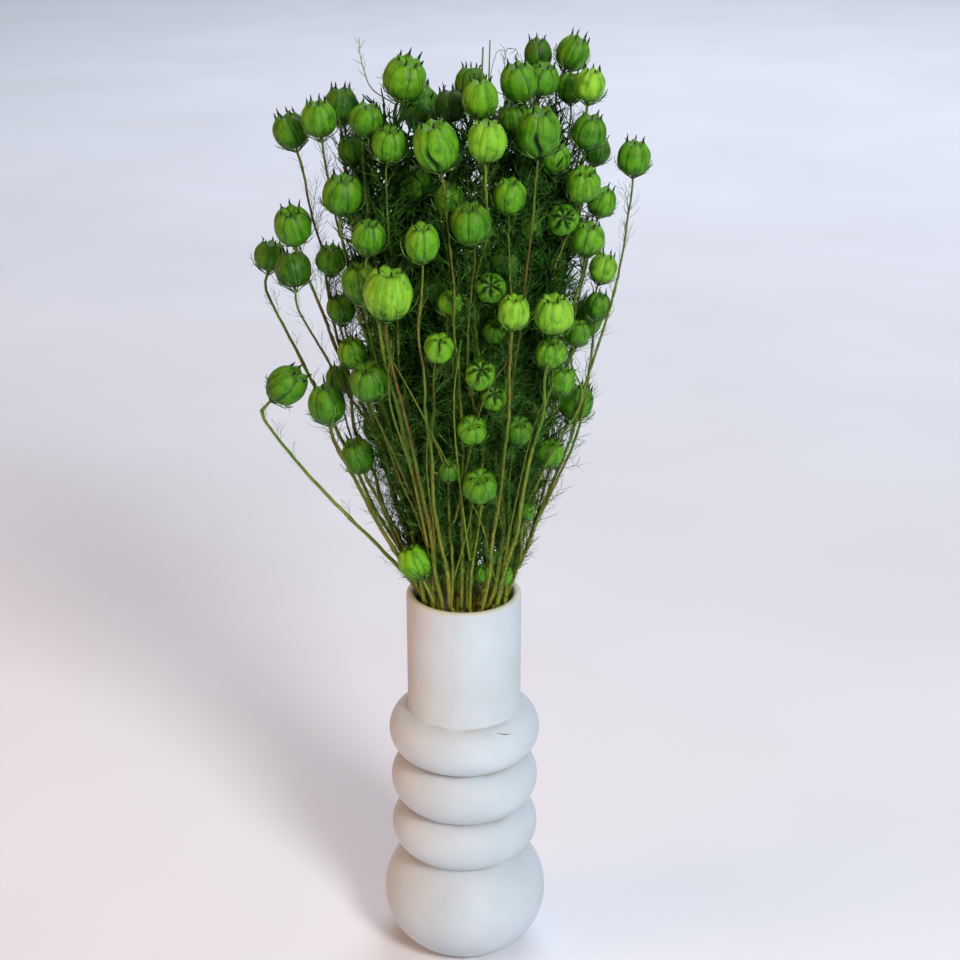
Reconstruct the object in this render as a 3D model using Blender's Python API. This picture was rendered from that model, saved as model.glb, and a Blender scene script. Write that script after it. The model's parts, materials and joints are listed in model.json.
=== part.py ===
"""A bunch of dried nigella (love-in-a-mist) seed pods, dyed green, standing in a ringed white ceramic vase.

Metres, +Z up. The origin is the middle of the vase's foot, and -Y is the front.
Each cut stem is one grown piece: a stalk that forks, a ribbed pod with a crown of horned beaks on each fork,
and thread leaves along it and under each pod.
"""

import math

import bmesh
import bpy
import numpy as np
from mathutils import Matrix, Vector

MM = 0.001

# The vase, turned from one profile: a straight neck over three rings and a round belly.
VASE_HEIGHT = 225 * MM
NECK_RADIUS = 32 * MM
NECK_BORE = 27.5 * MM
CREASE_RADIUS = 31 * MM
WALL = 5.5 * MM
FOOT_RADIUS = 26.5 * MM
FLOOR_HEIGHT = 8 * MM
FLOOR_RADIUS = 29 * MM
VASE_SIDES = 24
# Each swelling: its lower crease, its upper crease and its greatest radius.
SWELLINGS = (
    (62.5 * MM, 92.5 * MM, 42 * MM),
    (92.5 * MM, 124.5 * MM, 42 * MM),
    (124.5 * MM, 154.5 * MM, 42.8 * MM),
)
BELLY = (3 * MM, 62.5 * MM, 47 * MM)
# Below its widest the belly rounds in to the foot on an ellipse: its middle's radius, half axes and end.
BELLY_MIDDLE = 15.5 * MM
BELLY_HALF_AXES = (31.5 * MM, 34.5 * MM)
BELLY_END = math.radians(-68)

# The pods, in radii of the pod: height along its axis, and radius there.
POD_RINGS = ((-0.7, 0.7), (0.05, 1.0), (0.76, 0.64))
POD_BASE = -1.0
POD_CARPELS = 5
RIDGE = 1.03
GROOVE = 0.92
BEAK = (1.32, 0.56)
CROWN_DIP = 0.8
HORN_REACH = 1.05
BODY_REACH = 0.4

# The stalks, which thin from the cut end to the pod.
STALK_SIDES = 3
STALK_FOOT_RADIUS = 1.9 * MM
STALK_TOP_RADIUS = 0.62 * MM
STALK_THINNEST_AT = 430 * MM
MAIN_STALKS = 36
LEVEL = 24 * MM
FIRST_LEVEL = VASE_HEIGHT - LEVEL
NECK_ROOM = NECK_BORE - 2.6 * MM
FAN_POINT = 118 * MM
STALK_GAP = 1.6 * MM
POD_GAP = 1.2 * MM
APPROACH = 11 * MM
BEND_LIMIT = math.radians(36)
SUNK = 0.45
STRAIGHTNESS = 0.35 * MM
FORK_WIDTH = 0.72
EASING_ROUNDS = 420

# The thread leaves.
WHORL_LENGTH = 1.8 * MM
WHORL_STEP = 84 * MM
LEAF_LENGTHS = (24 * MM, 17 * MM, 12 * MM)
BRACT_LENGTHS = (15 * MM, 10 * MM)
LEAF_RADIUS = 0.7 * MM
LEAF_GAP = 0.5 * MM

# The front view that the pods' places are given in: a 960 by 960 frame seen from this eye point.
FRAME = 960
EYE = Vector((9 * MM, -971 * MM, 683 * MM))
EYE_DOWN = math.radians(22)
FOCAL = 1927

# Every pod that shows from the front: column and row of its middle in the frame, its diameter and its
# distance in front of the vase's axis in mm, then how far it leans to the right and to the front in degrees.
FRONT_PODS = (
    (290, 131, 18, 5, -16, 5), (319, 119, 18, 22, -5, 8), (341, 106, 17, -5, 0, 0),
    (366, 120, 17, 32, 6, 10), (405, 78, 21, 28, 16, 22), (389, 144, 17, 48, 6, 16),
    (436, 146, 23, 60, -10, 12), (450, 106, 16, 14, -5, 0), (480, 99, 18, 34, 0, 5),
    (342, 195, 19, 42, 5, 15), (414, 182, 17, 20, 4, 10), (293, 226, 20, 28, -4, 26),
    (369, 237, 17, 55, 6, 12), (422, 243, 18, 66, 0, 16), (449, 198, 15, 30, 10, 14),
    (427, 212, 14, 2, 0, 0), (471, 224, 19, 60, -6, 18), (270, 256, 16, -8, 8, 0),
    (293, 269, 19, 14, -6, -10), (331, 260, 16, 12, 4, 12), (388, 294, 24, 70, 4, 10),
    (361, 283, 20, 38, -6, 8), (341, 309, 15, 16, -10, 4), (352, 353, 15, 22, -12, 8),
    (287, 385, 22, 8, 42, 12), (327, 404, 20, 24, -8, 2), (339, 379, 15, -6, -6, 0),
    (368, 382, 19, 46, -6, 22), (439, 348, 15, 58, 10, 24), (450, 303, 13, 44, 6, 16),
    (428, 290, 14, 22, 0, 6), (588, 239, 17, 26, 6, 12), (603, 268, 15, 4, 14, 6), (563, 220, 16, 30, 4, 64),
    (531, 228, 13, 26, 4, 20), (598, 306, 14, 6, 6, 6), (554, 314, 20, 50, -2, 16),
    (514, 312, 16, 62, 4, 12), (577, 333, 14, 26, 8, 8), (491, 288, 15, 40, -4, 60),
    (494, 331, 13, 36, 8, 30), (480, 375, 16, 50, 6, 44), (494, 398, 14, 46, 4, 46),
    (551, 353, 16, 40, -4, 16), (562, 381, 14, 24, 8, 10), (472, 430, 15, 48, 2, 40),
    (518, 430, 15, 40, 10, 34), (505, 263, 15, 42, 4, 14), (602, 202, 15, 2, 12, 8),
    (583, 184, 18, 32, 6, 30), (634, 158, 17, 8, 2, 6), (487, 141, 19, 62, 2, 8), (539, 132, 22, 54, 2, 16),
    (519, 82, 19, 30, -8, 14), (543, 79, 17, 12, 10, 18), (538, 55, 15, -14, -4, 10),
    (573, 53, 17, -6, 24, 12), (590, 85, 16, 24, 6, 8), (571, 88, 14, 2, 0, 4), (589, 132, 17, 24, 8, 10),
    (597, 151, 14, 0, 12, 4), (556, 158, 15, 28, 0, 12), (510, 196, 16, 46, 2, 16),
    (514, 118, 16, 20, -4, 6), (449, 470, 13, 42, 2, 26), (480, 486, 18, 46, -2, 36),
    (550, 453, 15, 14, 20, 6), (358, 455, 18, 8, -16, 12), (415, 562, 18, 26, -24, -6),
    (375, 428, 14, 2, -10, 4), (527, 512, 9, 20, 12, 10), (424, 484, 9, 34, 0, 12),
    (484, 573, 10, 22, 0, 20), (503, 575, 11, 14, 10, 14), (352, 150, 15, 12, -4, 4),
)

# The pods of the back, which the front view hides, by rule: a golden-angle spiral up the back of the bunch.
BACK_PODS = 16
BACK_FIRST_HEIGHT = 330 * MM
BACK_LAST_HEIGHT = 505 * MM
BACK_REACH = (66 * MM, 58 * MM)
BACK_DIAMETERS = (19 * MM, 16 * MM, 21 * MM, 17 * MM)
GOLDEN_ANGLE = math.radians(137.5)

DYED_GREEN = (0.1, 0.3, 0.03, 1)
WHITE_GLAZE = (0.78, 0.77, 0.75, 1)


def nearest_points(a0, a1, b0, b1):
    """How far along each segment a0-a1 and b0-b1 come closest, from 0 to 1, for arrays of segments."""
    along_a, along_b, between = a1 - a0, b1 - b0, a0 - b0
    aa = np.maximum((along_a**2).sum(-1), 1e-12)
    bb = np.maximum((along_b**2).sum(-1), 1e-12)
    ab = (along_a * along_b).sum(-1)
    ac = (along_a * between).sum(-1)
    bc = (along_b * between).sum(-1)
    s = np.clip((ab * bc - ac * bb) / np.maximum(aa * bb - ab**2, 1e-15), 0, 1)
    t = np.clip((ab * s + bc) / bb, 0, 1)
    s = np.clip((ab * t - ac) / aa, 0, 1)
    return s, t


class Pod:
    def __init__(self, middle, radius, axis, sight):
        self.middle = np.array(middle, float)
        self.radius = radius
        self.axis = np.array(Vector(axis).normalized(), float)
        self.sight = np.array(sight, float)
        self.spin = 0.0

    def base(self):
        return self.middle + self.axis * self.radius * POD_BASE

    def reach(self):
        """The ends of the line that a body of this radius round, out to its horns, is swept along."""
        return self.middle, self.middle + self.axis * self.radius * BODY_REACH


def lean_axis(right, front):
    """A pod's axis from its lean to the right and to the front, in degrees."""
    up = Vector((0, 0, 1))
    up.rotate(Matrix.Rotation(math.radians(front), 3, "X"))
    up.rotate(Matrix.Rotation(math.radians(right), 3, "Y"))
    return up


def front_pod(column, row, diameter, front, right_lean, front_lean):
    """A pod where its column and row of the front view meet the plane that far in front of the axis."""
    ahead = Vector((0, math.cos(EYE_DOWN), -math.sin(EYE_DOWN)))
    up = Vector((0, math.sin(EYE_DOWN), math.cos(EYE_DOWN)))
    sight = ahead + Vector((1, 0, 0)) * ((column - FRAME / 2) / FOCAL) - up * ((row - FRAME / 2) / FOCAL)
    sight /= sight.y
    middle = EYE + sight * (-front * MM - EYE.y)
    return Pod(middle, diameter / 2 * MM, lean_axis(right_lean, front_lean), sight)


def back_pod(number):
    share = (number + 0.5) / BACK_PODS
    height = BACK_FIRST_HEIGHT + (BACK_LAST_HEIGHT - BACK_FIRST_HEIGHT) * share
    turn = (number * GOLDEN_ANGLE) % math.pi
    swell = math.sin(math.pi * (0.35 + 0.5 * share))
    across = BACK_REACH[0] * swell * math.cos(turn)
    behind = BACK_REACH[1] * swell * math.sin(turn)
    axis = Vector((across, behind, 0.16))
    diameter = BACK_DIAMETERS[number % len(BACK_DIAMETERS)]
    return Pod((across, behind, height), diameter / 2, axis, (0, 1, 0))


def part_pods(pods):
    """Slides touching pods apart, nearer or farther along the lines of sight, so the front view keeps."""
    first, second = np.triu_indices(len(pods), 1)
    radius = np.array([p.radius for p in pods])
    sight = np.array([p.sight for p in pods])
    wanted = (radius[first] + radius[second]) * HORN_REACH + POD_GAP
    for _ in range(EASING_ROUNDS):
        start = np.array([p.reach()[0] for p in pods])
        end = np.array([p.reach()[1] for p in pods])
        s, t = nearest_points(start[first], end[first], start[second], end[second])
        near_a = start[first] + (end - start)[first] * s[:, None]
        near_b = start[second] + (end - start)[second] * t[:, None]
        short = wanted - np.linalg.norm(near_a - near_b, axis=1)
        side = np.where(near_a[:, 1] < near_b[:, 1], -1.0, 1.0)
        step = np.where(short > 0, np.minimum(short + 0.2 * MM, 1.5 * MM), 0) * side * 0.5
        slide = np.zeros(len(pods))
        np.add.at(slide, first, step)
        np.add.at(slide, second, -step)
        if not slide.any():
            break
        for pod, moved, line in zip(pods, slide, sight):
            pod.middle = pod.middle + line * moved


def shared_stalks(pods):
    """Sorts the pods into stalks by the way that they fan from the vase: each stalk's pods, tallest first."""
    place = np.array([p.base() for p in pods])
    fan = place[:, :2] / (place[:, 2:] - FAN_POINT)
    seeds = [int(np.argmax(place[:, 2]))]
    while len(seeds) < MAIN_STALKS:
        gaps = np.linalg.norm(fan[:, None] - fan[None, seeds], axis=2).min(1)
        seeds.append(int(np.argmax(gaps)))
    middles = fan[seeds]
    for _ in range(12):
        nearest = np.linalg.norm(fan[:, None] - middles[None], axis=2).argmin(1)
        middles = np.array([fan[nearest == k].mean(0) for k in range(MAIN_STALKS)])
    by_height = [int(i) for i in np.argsort(-place[:, 2], kind="stable")]
    groups = [[i for i in by_height if nearest[i] == k] for k in range(MAIN_STALKS)]
    return groups, middles


class Stalk:
    """One run of stalk up to one pod. Its points are rows of one array; a fork's first is its parent's."""

    def __init__(self, node, pod, points, fixed, parent=None):
        self.node = node
        self.pod = pod
        self.points = points
        self.fixed = fixed
        self.parent = parent


def approach(pod, base, neck):
    """The last points of a stalk below its pod, lowest first, which turn it to the pod's own lean."""
    axis = Vector(pod.axis)
    climb = Vector(base - neck).normalized()
    turns = max(1, round(axis.angle(climb) / BEND_LIMIT))
    point, bends = Vector(base), []
    for number in range(turns):
        point = point - axis.lerp(climb, number / turns).normalized() * (APPROACH / turns**0.5)
        bends.insert(0, np.array(point))
    return bends


def lay_stalks(pods, groups, middles):
    """First places for every stalk: up through the neck, then fanned to its pod, forking at a level."""
    places, held, stalks = [], [], []

    def add(x, y, z, fixed):
        places.append((x, y, z))
        held.append(fixed)
        return len(places) - 1

    for node, group in enumerate(groups):
        main = None
        for i in group:
            pod = pods[i]
            base = pod.base()
            neck = middles[node] * (VASE_HEIGHT - FAN_POINT)
            bends = approach(pod, base, np.array([*neck, VASE_HEIGHT]))
            last = bends[0]
            rows = []
            if main is None:
                start = np.array([*neck, FIRST_LEVEL])
                rows.append(add(*start, False))
            else:
                levels = [r for r in main.points if places[r][2] < base[2] - 0.8 * LEVEL]
                share = 0.5 if base[2] > VASE_HEIGHT + 4 * LEVEL else 0.2
                rows.append(levels[max(1, int(len(levels) * share))] if len(levels) > 2 else levels[-1])
                start = np.array(places[rows[0]])
            height = start[2] + LEVEL
            while height < last[2] - 0.45 * LEVEL:
                share = (height - start[2]) / (last[2] - start[2])
                spot = start[:2] + (last[:2] - start[:2]) * share
                rows.append(add(*spot, height, False))
                height += LEVEL
            rows += [add(*bend, True) for bend in bends]
            rows.append(add(*base, True))
            stalk = Stalk(node, i, rows, len(rows) - 2, main)
            stalks.append(stalk)
            main = main or stalk
    return stalks, np.array(places), np.array(held)


def ease_stalks(pods, stalks, places, held):
    """Bends the stalks clear of each other and of the pods, within the bore, each point at its height."""
    ends = np.array([(a, b) for s in stalks for a, b in zip(s.points, s.points[1:])])
    owner = np.array([k for k, s in enumerate(stalks) for _ in s.points[1:]])
    low, high = places[ends[:, 0], 2], places[ends[:, 1], 2]
    radius = np.array([stalk_radius(z) for z in low])
    a, b = np.triu_indices(len(ends), 1)
    keep = (owner[a] != owner[b]) & (np.minimum(high[a], high[b]) > np.maximum(low[a], low[b]) - 3 * MM)
    shared = (ends[a][:, :, None] == ends[b][:, None, :]).any((1, 2))
    a, b = a[keep & ~shared], b[keep & ~shared]
    wanted = radius[a] + radius[b] + STALK_GAP
    pod_low = np.array([p.reach()[0] for p in pods])
    pod_high = np.array([p.reach()[1] for p in pods])
    pod_radius = np.array([p.radius for p in pods]) * HORN_REACH
    segment, pod = np.meshgrid(np.arange(len(ends)), np.arange(len(pods)), indexing="ij")
    segment, pod = segment.ravel(), pod.ravel()
    own = np.array([s.pod for s in stalks])[owner[segment]] == pod
    near = np.abs((low + high)[segment] / 2 - pod_low[pod][:, 2]) < LEVEL + pod_radius[pod] * 2
    segment, pod = segment[near & ~own], pod[near & ~own]
    pod_wanted = pod_radius[pod] + radius[segment] + POD_GAP
    free = ~held
    lines = [s.points for s in stalks]
    neck = free & (places[:, 2] < VASE_HEIGHT + 1 * MM)

    def push(moves, rows, share, amount, way):
        np.add.at(moves, ends[rows, 0], way * (amount * (1 - share))[:, None])
        np.add.at(moves, ends[rows, 1], way * (amount * share)[:, None])

    for round_number in range(EASING_ROUNDS):
        smooth = np.zeros((len(places), 2))
        count = np.zeros(len(places))
        for rows in lines:
            line = places[rows, :2]
            smooth[rows[1:-1]] += (line[:-2] + line[2:]) / 2 - line[1:-1]
            count[rows[1:-1]] += 1
        ease = 0.45 if round_number < EASING_ROUNDS * 0.7 else 0.1
        places[free, :2] += ease * (smooth / np.maximum(count, 1)[:, None])[free]
        moves = np.zeros((len(places), 2))
        s, t = nearest_points(places[ends[a, 0]], places[ends[a, 1]], places[ends[b, 0]], places[ends[b, 1]])
        spot_a = places[ends[a, 0]] + (places[ends[a, 1]] - places[ends[a, 0]]) * s[:, None]
        spot_b = places[ends[b, 0]] + (places[ends[b, 1]] - places[ends[b, 0]]) * t[:, None]
        gap = spot_a - spot_b
        far = np.linalg.norm(gap, axis=1)
        short = np.maximum(wanted - far, 0) * 0.6
        way = gap[:, :2] / np.maximum(np.linalg.norm(gap[:, :2], axis=1), 1e-6)[:, None]
        push(moves, a, s, short, way)
        push(moves, b, t, short, -way)
        start, end = places[ends[segment, 0]], places[ends[segment, 1]]
        s, t = nearest_points(start, end, pod_low[pod], pod_high[pod])
        spot = start + (end - start) * s[:, None]
        gap = spot - (pod_low[pod] + (pod_high - pod_low)[pod] * t[:, None])
        short = np.maximum(pod_wanted - np.linalg.norm(gap, axis=1), 0)
        way = gap[:, :2] / np.maximum(np.linalg.norm(gap[:, :2], axis=1), 1e-6)[:, None]
        push(moves, segment, s, short, way)
        size = np.linalg.norm(moves, axis=1)
        moves *= (np.minimum(size, 2.5 * MM) / np.maximum(size, 1e-9))[:, None]
        places[free, :2] += moves[free]
        reach = np.linalg.norm(places[:, :2], axis=1)
        over = neck & (reach > NECK_ROOM)
        places[over, :2] *= (NECK_ROOM / reach[over])[:, None]
    return places


def stalk_radius(height):
    share = min(1.0, max(0.0, height / STALK_THINNEST_AT))
    return STALK_FOOT_RADIUS + (STALK_TOP_RADIUS - STALK_FOOT_RADIUS) * share


def plain_line(line, kept):
    """The line without the points that a straight run passes near enough, but with the kept ones."""
    first, last = line[0], line[-1]
    run = last - first
    worst, corner = STRAIGHTNESS, None
    for number, point in enumerate(line[1:-1], 1):
        away = (point - first).cross(run).length / run.length
        if number in kept:
            away += 1
        if away > worst:
            worst, corner = away, number
    if corner is None:
        return [first, last]
    low = plain_line(line[: corner + 1], kept - {corner})
    high = plain_line(line[corner:], {k - corner for k in kept if k > corner})
    return low[:-1] + high


def arrange_bunch():
    """The pods in place, and every stalk's centre line as points from its root or fork up to its pod."""
    pods = [front_pod(*row) for row in FRONT_PODS] + [back_pod(n) for n in range(BACK_PODS)]
    part_pods(pods)
    groups, middles = shared_stalks(pods)
    stalks, places, held = lay_stalks(pods, groups, middles)
    places = ease_stalks(pods, stalks, places, held)
    for number, pod in enumerate(pods):
        pod.spin = number * GOLDEN_ANGLE
    forks = {stalk.points[0] for stalk in stalks if stalk.parent}
    lines = []
    for stalk in stalks:
        line = [Vector(places[r]) for r in stalk.points]
        kept = {k for k, r in enumerate(stalk.points) if r in forks}
        if stalk.parent is None:
            root = line[0].copy()
            root.z = FLOOR_HEIGHT + 0.5 * MM
            line.insert(0, root)
            kept = {k + 1 for k in kept}
        lines.append(plain_line(line, kept - {0}))
    return pods, stalks, lines


def side_vectors(line):
    """At each point of a line: its direction, and one square to it that turns as little as it can."""
    steps = [(b - a).normalized() for a, b in zip(line, line[1:])]
    along = [steps[0]] + [(a + b).normalized() for a, b in zip(steps, steps[1:])] + [steps[-1]]
    side = along[0].orthogonal().normalized()
    found = []
    for direction in along:
        side = (side - direction * side.dot(direction)).normalized()
        found.append((direction, side))
    return found


def finer_line(line, whorl_heights):
    """The stalk's line with a short step added at each leaf whorl: the points, and which steps are whorls."""
    points, steps = [line[0]], []
    for a, b in zip(line, line[1:]):
        for height in sorted(h for h in whorl_heights if a.z < h < b.z):
            step = (b - a).normalized() * WHORL_LENGTH
            low = a + (b - a) * ((height - a.z) / (b.z - a.z))
            points += [low, low + step]
            steps += [False, True]
        points.append(b)
        steps.append(False)
    return points, steps


class Room:
    """What a new thread leaf stays clear of: stalks, pods and the leaves so far, each a rounded rod."""

    def __init__(self, pods, lines):
        rods = [(a, b, stalk_radius(a.z)) for line in lines for a, b in zip(line, line[1:])]
        rods += [(*map(Vector, pod.reach()), pod.radius * HORN_REACH) for pod in pods]
        self.start = np.array([a for a, _, _ in rods])
        self.end = np.array([b for _, b, _ in rods])
        self.radius = np.array([r for _, _, r in rods])

    def clear(self, root, tip, own):
        """Whether a leaf from root to tip is clear of everything but the rods in own."""
        if tip.z < VASE_HEIGHT + 3 * MM:
            return False
        ray = np.array(tip) - np.array(root)
        a0 = np.broadcast_to(np.array(root) + 0.12 * ray, self.start.shape)
        a1 = np.broadcast_to(np.array(tip), self.start.shape)
        s, t = nearest_points(a0, a1, self.start, self.end)
        on_leaf = a0 + (a1 - a0) * s[:, None]
        on_rod = self.start + (self.end - self.start) * t[:, None]
        gap = np.linalg.norm(on_leaf - on_rod, axis=1)
        short = gap < self.radius + LEAF_RADIUS * (1 - s) + LEAF_GAP
        short[own] = False
        return not short.any()

    def take(self, root, tip):
        self.start = np.vstack([self.start, np.array(root)])
        self.end = np.vstack([self.end, np.array(tip)])
        self.radius = np.append(self.radius, LEAF_RADIUS * 0.6)


def pull_leaf(bm, face, room, own, lifts, lengths, up):
    """Draws one face of a whorl out into a thread leaf, the longest that has room."""
    middle = face.calc_center_median()
    outward = face.normal
    for length in lengths:
        for lift in lifts:
            way = outward * math.cos(lift) + up * math.sin(lift)
            tip = middle + way * length
            if room.clear(middle, tip, own):
                room.take(middle, tip)
                made = bmesh.ops.poke(bm, faces=[face])
                made["verts"][0].co = tip
                return


def stalk_mesh(name, line, whorls, room, first_rod, pod_rod, sunk, forked):
    """One run of stalk as a closed tube, with its whorls of thread leaves drawn out of its sides."""
    points, steps = finer_line(line, whorls)
    bracts = points[-1] - (points[-1] - points[-2]).normalized() * WHORL_LENGTH * 1.6
    points[-1:-1] = [bracts, bracts + (points[-1] - points[-2]).normalized() * WHORL_LENGTH]
    steps[-1:] = [False, True, False]
    points[-1] = points[-1] + (points[-1] - points[-2]).normalized() * sunk
    bm = bmesh.new()
    rings = []
    for point, (along, side) in zip(points, side_vectors(points)):
        across = along.cross(side)
        radius = stalk_radius(point.z) * (FORK_WIDTH if forked else 1)
        turns = [math.tau * (k + 0.5) / STALK_SIDES for k in range(STALK_SIDES)]
        corners = [point + (side * math.cos(a) + across * math.sin(a)) * radius for a in turns]
        rings.append([bm.verts.new(corner) for corner in corners])
    whorl_faces = []
    for number, (low, high) in enumerate(zip(rings, rings[1:])):
        for k in range(STALK_SIDES):
            after = (k + 1) % STALK_SIDES
            face = bm.faces.new((low[k], low[after], high[after], high[k]))
            if steps[number]:
                whorl_faces.append((face, number))
    bm.faces.new(reversed(rings[0]))
    bm.faces.new(rings[-1])
    bm.normal_update()
    last = len(steps) - 2
    for face, number in whorl_faces:
        up = (points[number + 1] - points[number]).normalized()
        middle = face.calc_center_median()
        runs = enumerate(zip(line, line[1:]))
        near = [first_rod + k for k, (a, b) in runs if a.z - LEVEL < middle.z < b.z + LEVEL]
        if number == last:
            lifts = [math.radians(a) for a in (28, 10, -10)]
            pull_leaf(bm, face, room, near + [pod_rod], lifts, BRACT_LENGTHS, up)
        else:
            lifts = [math.radians(a) for a in (52, 34, 66)]
            pull_leaf(bm, face, room, near, lifts, LEAF_LENGTHS, up)
    mesh = bpy.data.meshes.new(name)
    bm.to_mesh(mesh)
    bm.free()
    return mesh


def pod_mesh(name, pod):
    """A ribbed pod with its crown of five horned beaks, closed, round its own axis."""
    bm = bmesh.new()
    bottom = bm.verts.new((0, 0, POD_BASE))
    rings = []
    for height, radius in POD_RINGS:
        ring = []
        for k in range(2 * POD_CARPELS):
            out = radius * (RIDGE if k % 2 == 0 else GROOVE)
            turn = math.pi * k / POD_CARPELS
            ring.append(bm.verts.new((out * math.cos(turn), out * math.sin(turn), height)))
        rings.append(ring)
    dip = bm.verts.new((0, 0, CROWN_DIP))
    count = 2 * POD_CARPELS
    for k in range(count):
        after = (k + 1) % count
        bm.faces.new((bottom, rings[0][after], rings[0][k]))
        for low, high in zip(rings, rings[1:]):
            bm.faces.new((low[k], low[after], high[after], high[k]))
    for k in range(0, count, 2):
        turn = math.pi * k / POD_CARPELS
        tip = bm.verts.new((BEAK[1] * math.cos(turn), BEAK[1] * math.sin(turn), BEAK[0]))
        before, ridge, after = rings[-1][k - 1], rings[-1][k], rings[-1][(k + 1) % count]
        bm.faces.new((before, ridge, tip))
        bm.faces.new((ridge, after, tip))
        bm.faces.new((after, dip, tip))
        bm.faces.new((dip, before, tip))
    axis = Vector(pod.axis)
    place = Matrix.Translation(Vector(pod.middle)) @ axis.to_track_quat("Z", "Y").to_matrix().to_4x4()
    place = place @ Matrix.Rotation(pod.spin, 4, "Z") @ Matrix.Scale(pod.radius, 4)
    bmesh.ops.triangulate(bm, faces=bm.faces)
    bm.transform(place)
    mesh = bpy.data.meshes.new(name)
    bm.to_mesh(mesh)
    bm.free()
    return mesh


def joined(name, meshes, material):
    """One object that is the union of closed meshes which run into each other."""
    base = bpy.data.objects.new(name, meshes[0])
    bpy.context.scene.collection.objects.link(base)
    others = bpy.data.collections.new(name + "_pieces")
    bpy.context.scene.collection.children.link(others)
    for number, mesh in enumerate(meshes[1:]):
        others.objects.link(bpy.data.objects.new(f"{name}_piece_{number}", mesh))
    union = base.modifiers.new("union", "BOOLEAN")
    union.operation = "UNION"
    union.solver = "MANIFOLD"
    union.operand_type = "COLLECTION"
    union.collection = others
    bpy.context.view_layer.update()
    whole = bpy.data.meshes.new_from_object(base.evaluated_get(bpy.context.evaluated_depsgraph_get()))
    base.modifiers.clear()
    base.data = whole
    for piece in list(others.objects):
        bpy.data.objects.remove(piece)
    bpy.data.collections.remove(others)
    whole.materials.clear()
    whole.materials.append(material)
    return base


def swelling(low, high, greatest, parts=6):
    """Profile points up one swelling, a round arc from its lower crease to just short of its upper one."""
    half, depth = (high - low) / 2, greatest - CREASE_RADIUS
    arc = (half**2 + depth**2) / (2 * depth)
    end = math.asin(half / arc)
    turns = [end * (2 * number / parts - 1) for number in range(parts)]
    return [(greatest - arc + arc * math.cos(t), (low + high) / 2 + arc * math.sin(t)) for t in turns]


def belly(parts=6):
    """Profile points up the belly, from the foot's edge to just short of the crease over it."""
    low, high, greatest = BELLY
    across, down = BELLY_HALF_AXES
    turns = [BELLY_END * (1 - 2 * number / parts) for number in range(parts // 2)]
    under = [(BELLY_MIDDLE + across * math.cos(t), (low + high) / 2 + down * math.sin(t)) for t in turns]
    return under + swelling(low, high, greatest, parts)[parts // 2 :]


def hollow(low, high, greatest):
    """The wall's inside behind one swelling, from the top down to its lower crease."""
    quarter = (high - low) / 4
    inside = greatest - WALL
    return [(inside, high - quarter), (inside, low + quarter), (NECK_BORE, low)]


def vase_profile():
    """The vase's section from the middle of its foot, up the outside, over the rim and down the inside."""
    outside = [(0, 0), (FOOT_RADIUS, 0)] + belly()
    for ring in SWELLINGS:
        outside += swelling(*ring)
    outside.append((NECK_RADIUS, SWELLINGS[-1][1]))
    lip = NECK_RADIUS - NECK_BORE
    rim = [(NECK_RADIUS, VASE_HEIGHT - lip * 0.45), (NECK_RADIUS - lip * 0.3, VASE_HEIGHT)]
    rim += [(NECK_BORE + lip * 0.3, VASE_HEIGHT), (NECK_BORE, VASE_HEIGHT - lip * 0.45)]
    inside = [(NECK_BORE, SWELLINGS[-1][1])]
    for ring in reversed(SWELLINGS):
        inside += hollow(*ring)
    low, high, greatest = BELLY
    belly_bore = greatest - WALL
    inside += [(belly_bore - 2 * MM, high - 14 * MM), (belly_bore, (low + high) / 2)]
    inside += [(belly_bore - 5 * MM, FLOOR_HEIGHT + 7 * MM), (FLOOR_RADIUS, FLOOR_HEIGHT), (0, FLOOR_HEIGHT)]
    return outside + rim + inside


def make_vase(material):
    bm = bmesh.new()
    points = [bm.verts.new((radius, 0, height)) for radius, height in vase_profile()]
    edges = [bm.edges.new(pair) for pair in zip(points, points[1:])]
    bmesh.ops.spin(bm, geom=points + edges, axis=(0, 0, 1), angle=math.tau, steps=VASE_SIDES, use_merge=True)
    bmesh.ops.remove_doubles(bm, verts=bm.verts, dist=0.001 * MM)
    bmesh.ops.recalc_face_normals(bm, faces=bm.faces)
    mesh = bpy.data.meshes.new("vase")
    bm.to_mesh(mesh)
    bm.free()
    mesh.materials.append(material)
    mesh.shade_smooth()
    mesh.set_sharp_from_angle(angle=math.radians(50))
    bpy.context.scene.collection.objects.link(bpy.data.objects.new("vase", mesh))


def make_stems(material):
    pods, stalks, lines = arrange_bunch()
    room = Room(pods, lines)
    rods = sum(len(line) - 1 for line in lines)
    first_rods = np.cumsum([0] + [len(line) - 1 for line in lines])
    meshes = {}
    for number, (stalk, line) in enumerate(zip(stalks, lines)):
        first = line[0].z if stalk.parent else VASE_HEIGHT
        whorls = []
        height = first + WHORL_STEP * (0.45 + 0.4 * (number * 0.618 % 1))
        while height < line[-2].z - 0.3 * WHORL_STEP:
            whorls.append(height)
            height += WHORL_STEP
        name = f"stem_{stalk.node + 1:02d}"
        pod = pods[stalk.pod]
        first_rod, pod_rod, sunk = int(first_rods[number]), rods + stalk.pod, pod.radius * SUNK
        tube = stalk_mesh(name, line, whorls, room, first_rod, pod_rod, sunk, stalk.parent is not None)
        meshes.setdefault(name, []).extend([tube, pod_mesh(name, pod)])
    for name, pieces in meshes.items():
        joined(name, pieces, material)


def finish_material(name, colour, roughness):
    material = bpy.data.materials.new(name)
    material.use_nodes = True
    shader = material.node_tree.nodes["Principled BSDF"]
    shader.inputs["Base Color"].default_value = colour
    shader.inputs["Roughness"].default_value = roughness
    shader.inputs["Metallic"].default_value = 0.0
    return material


def main():
    for thing in list(bpy.data.objects):
        bpy.data.objects.remove(thing)
    make_vase(finish_material("white_glaze", WHITE_GLAZE, 0.35))
    make_stems(finish_material("dyed_dry_plant", DYED_GREEN, 0.6))


main()
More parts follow.
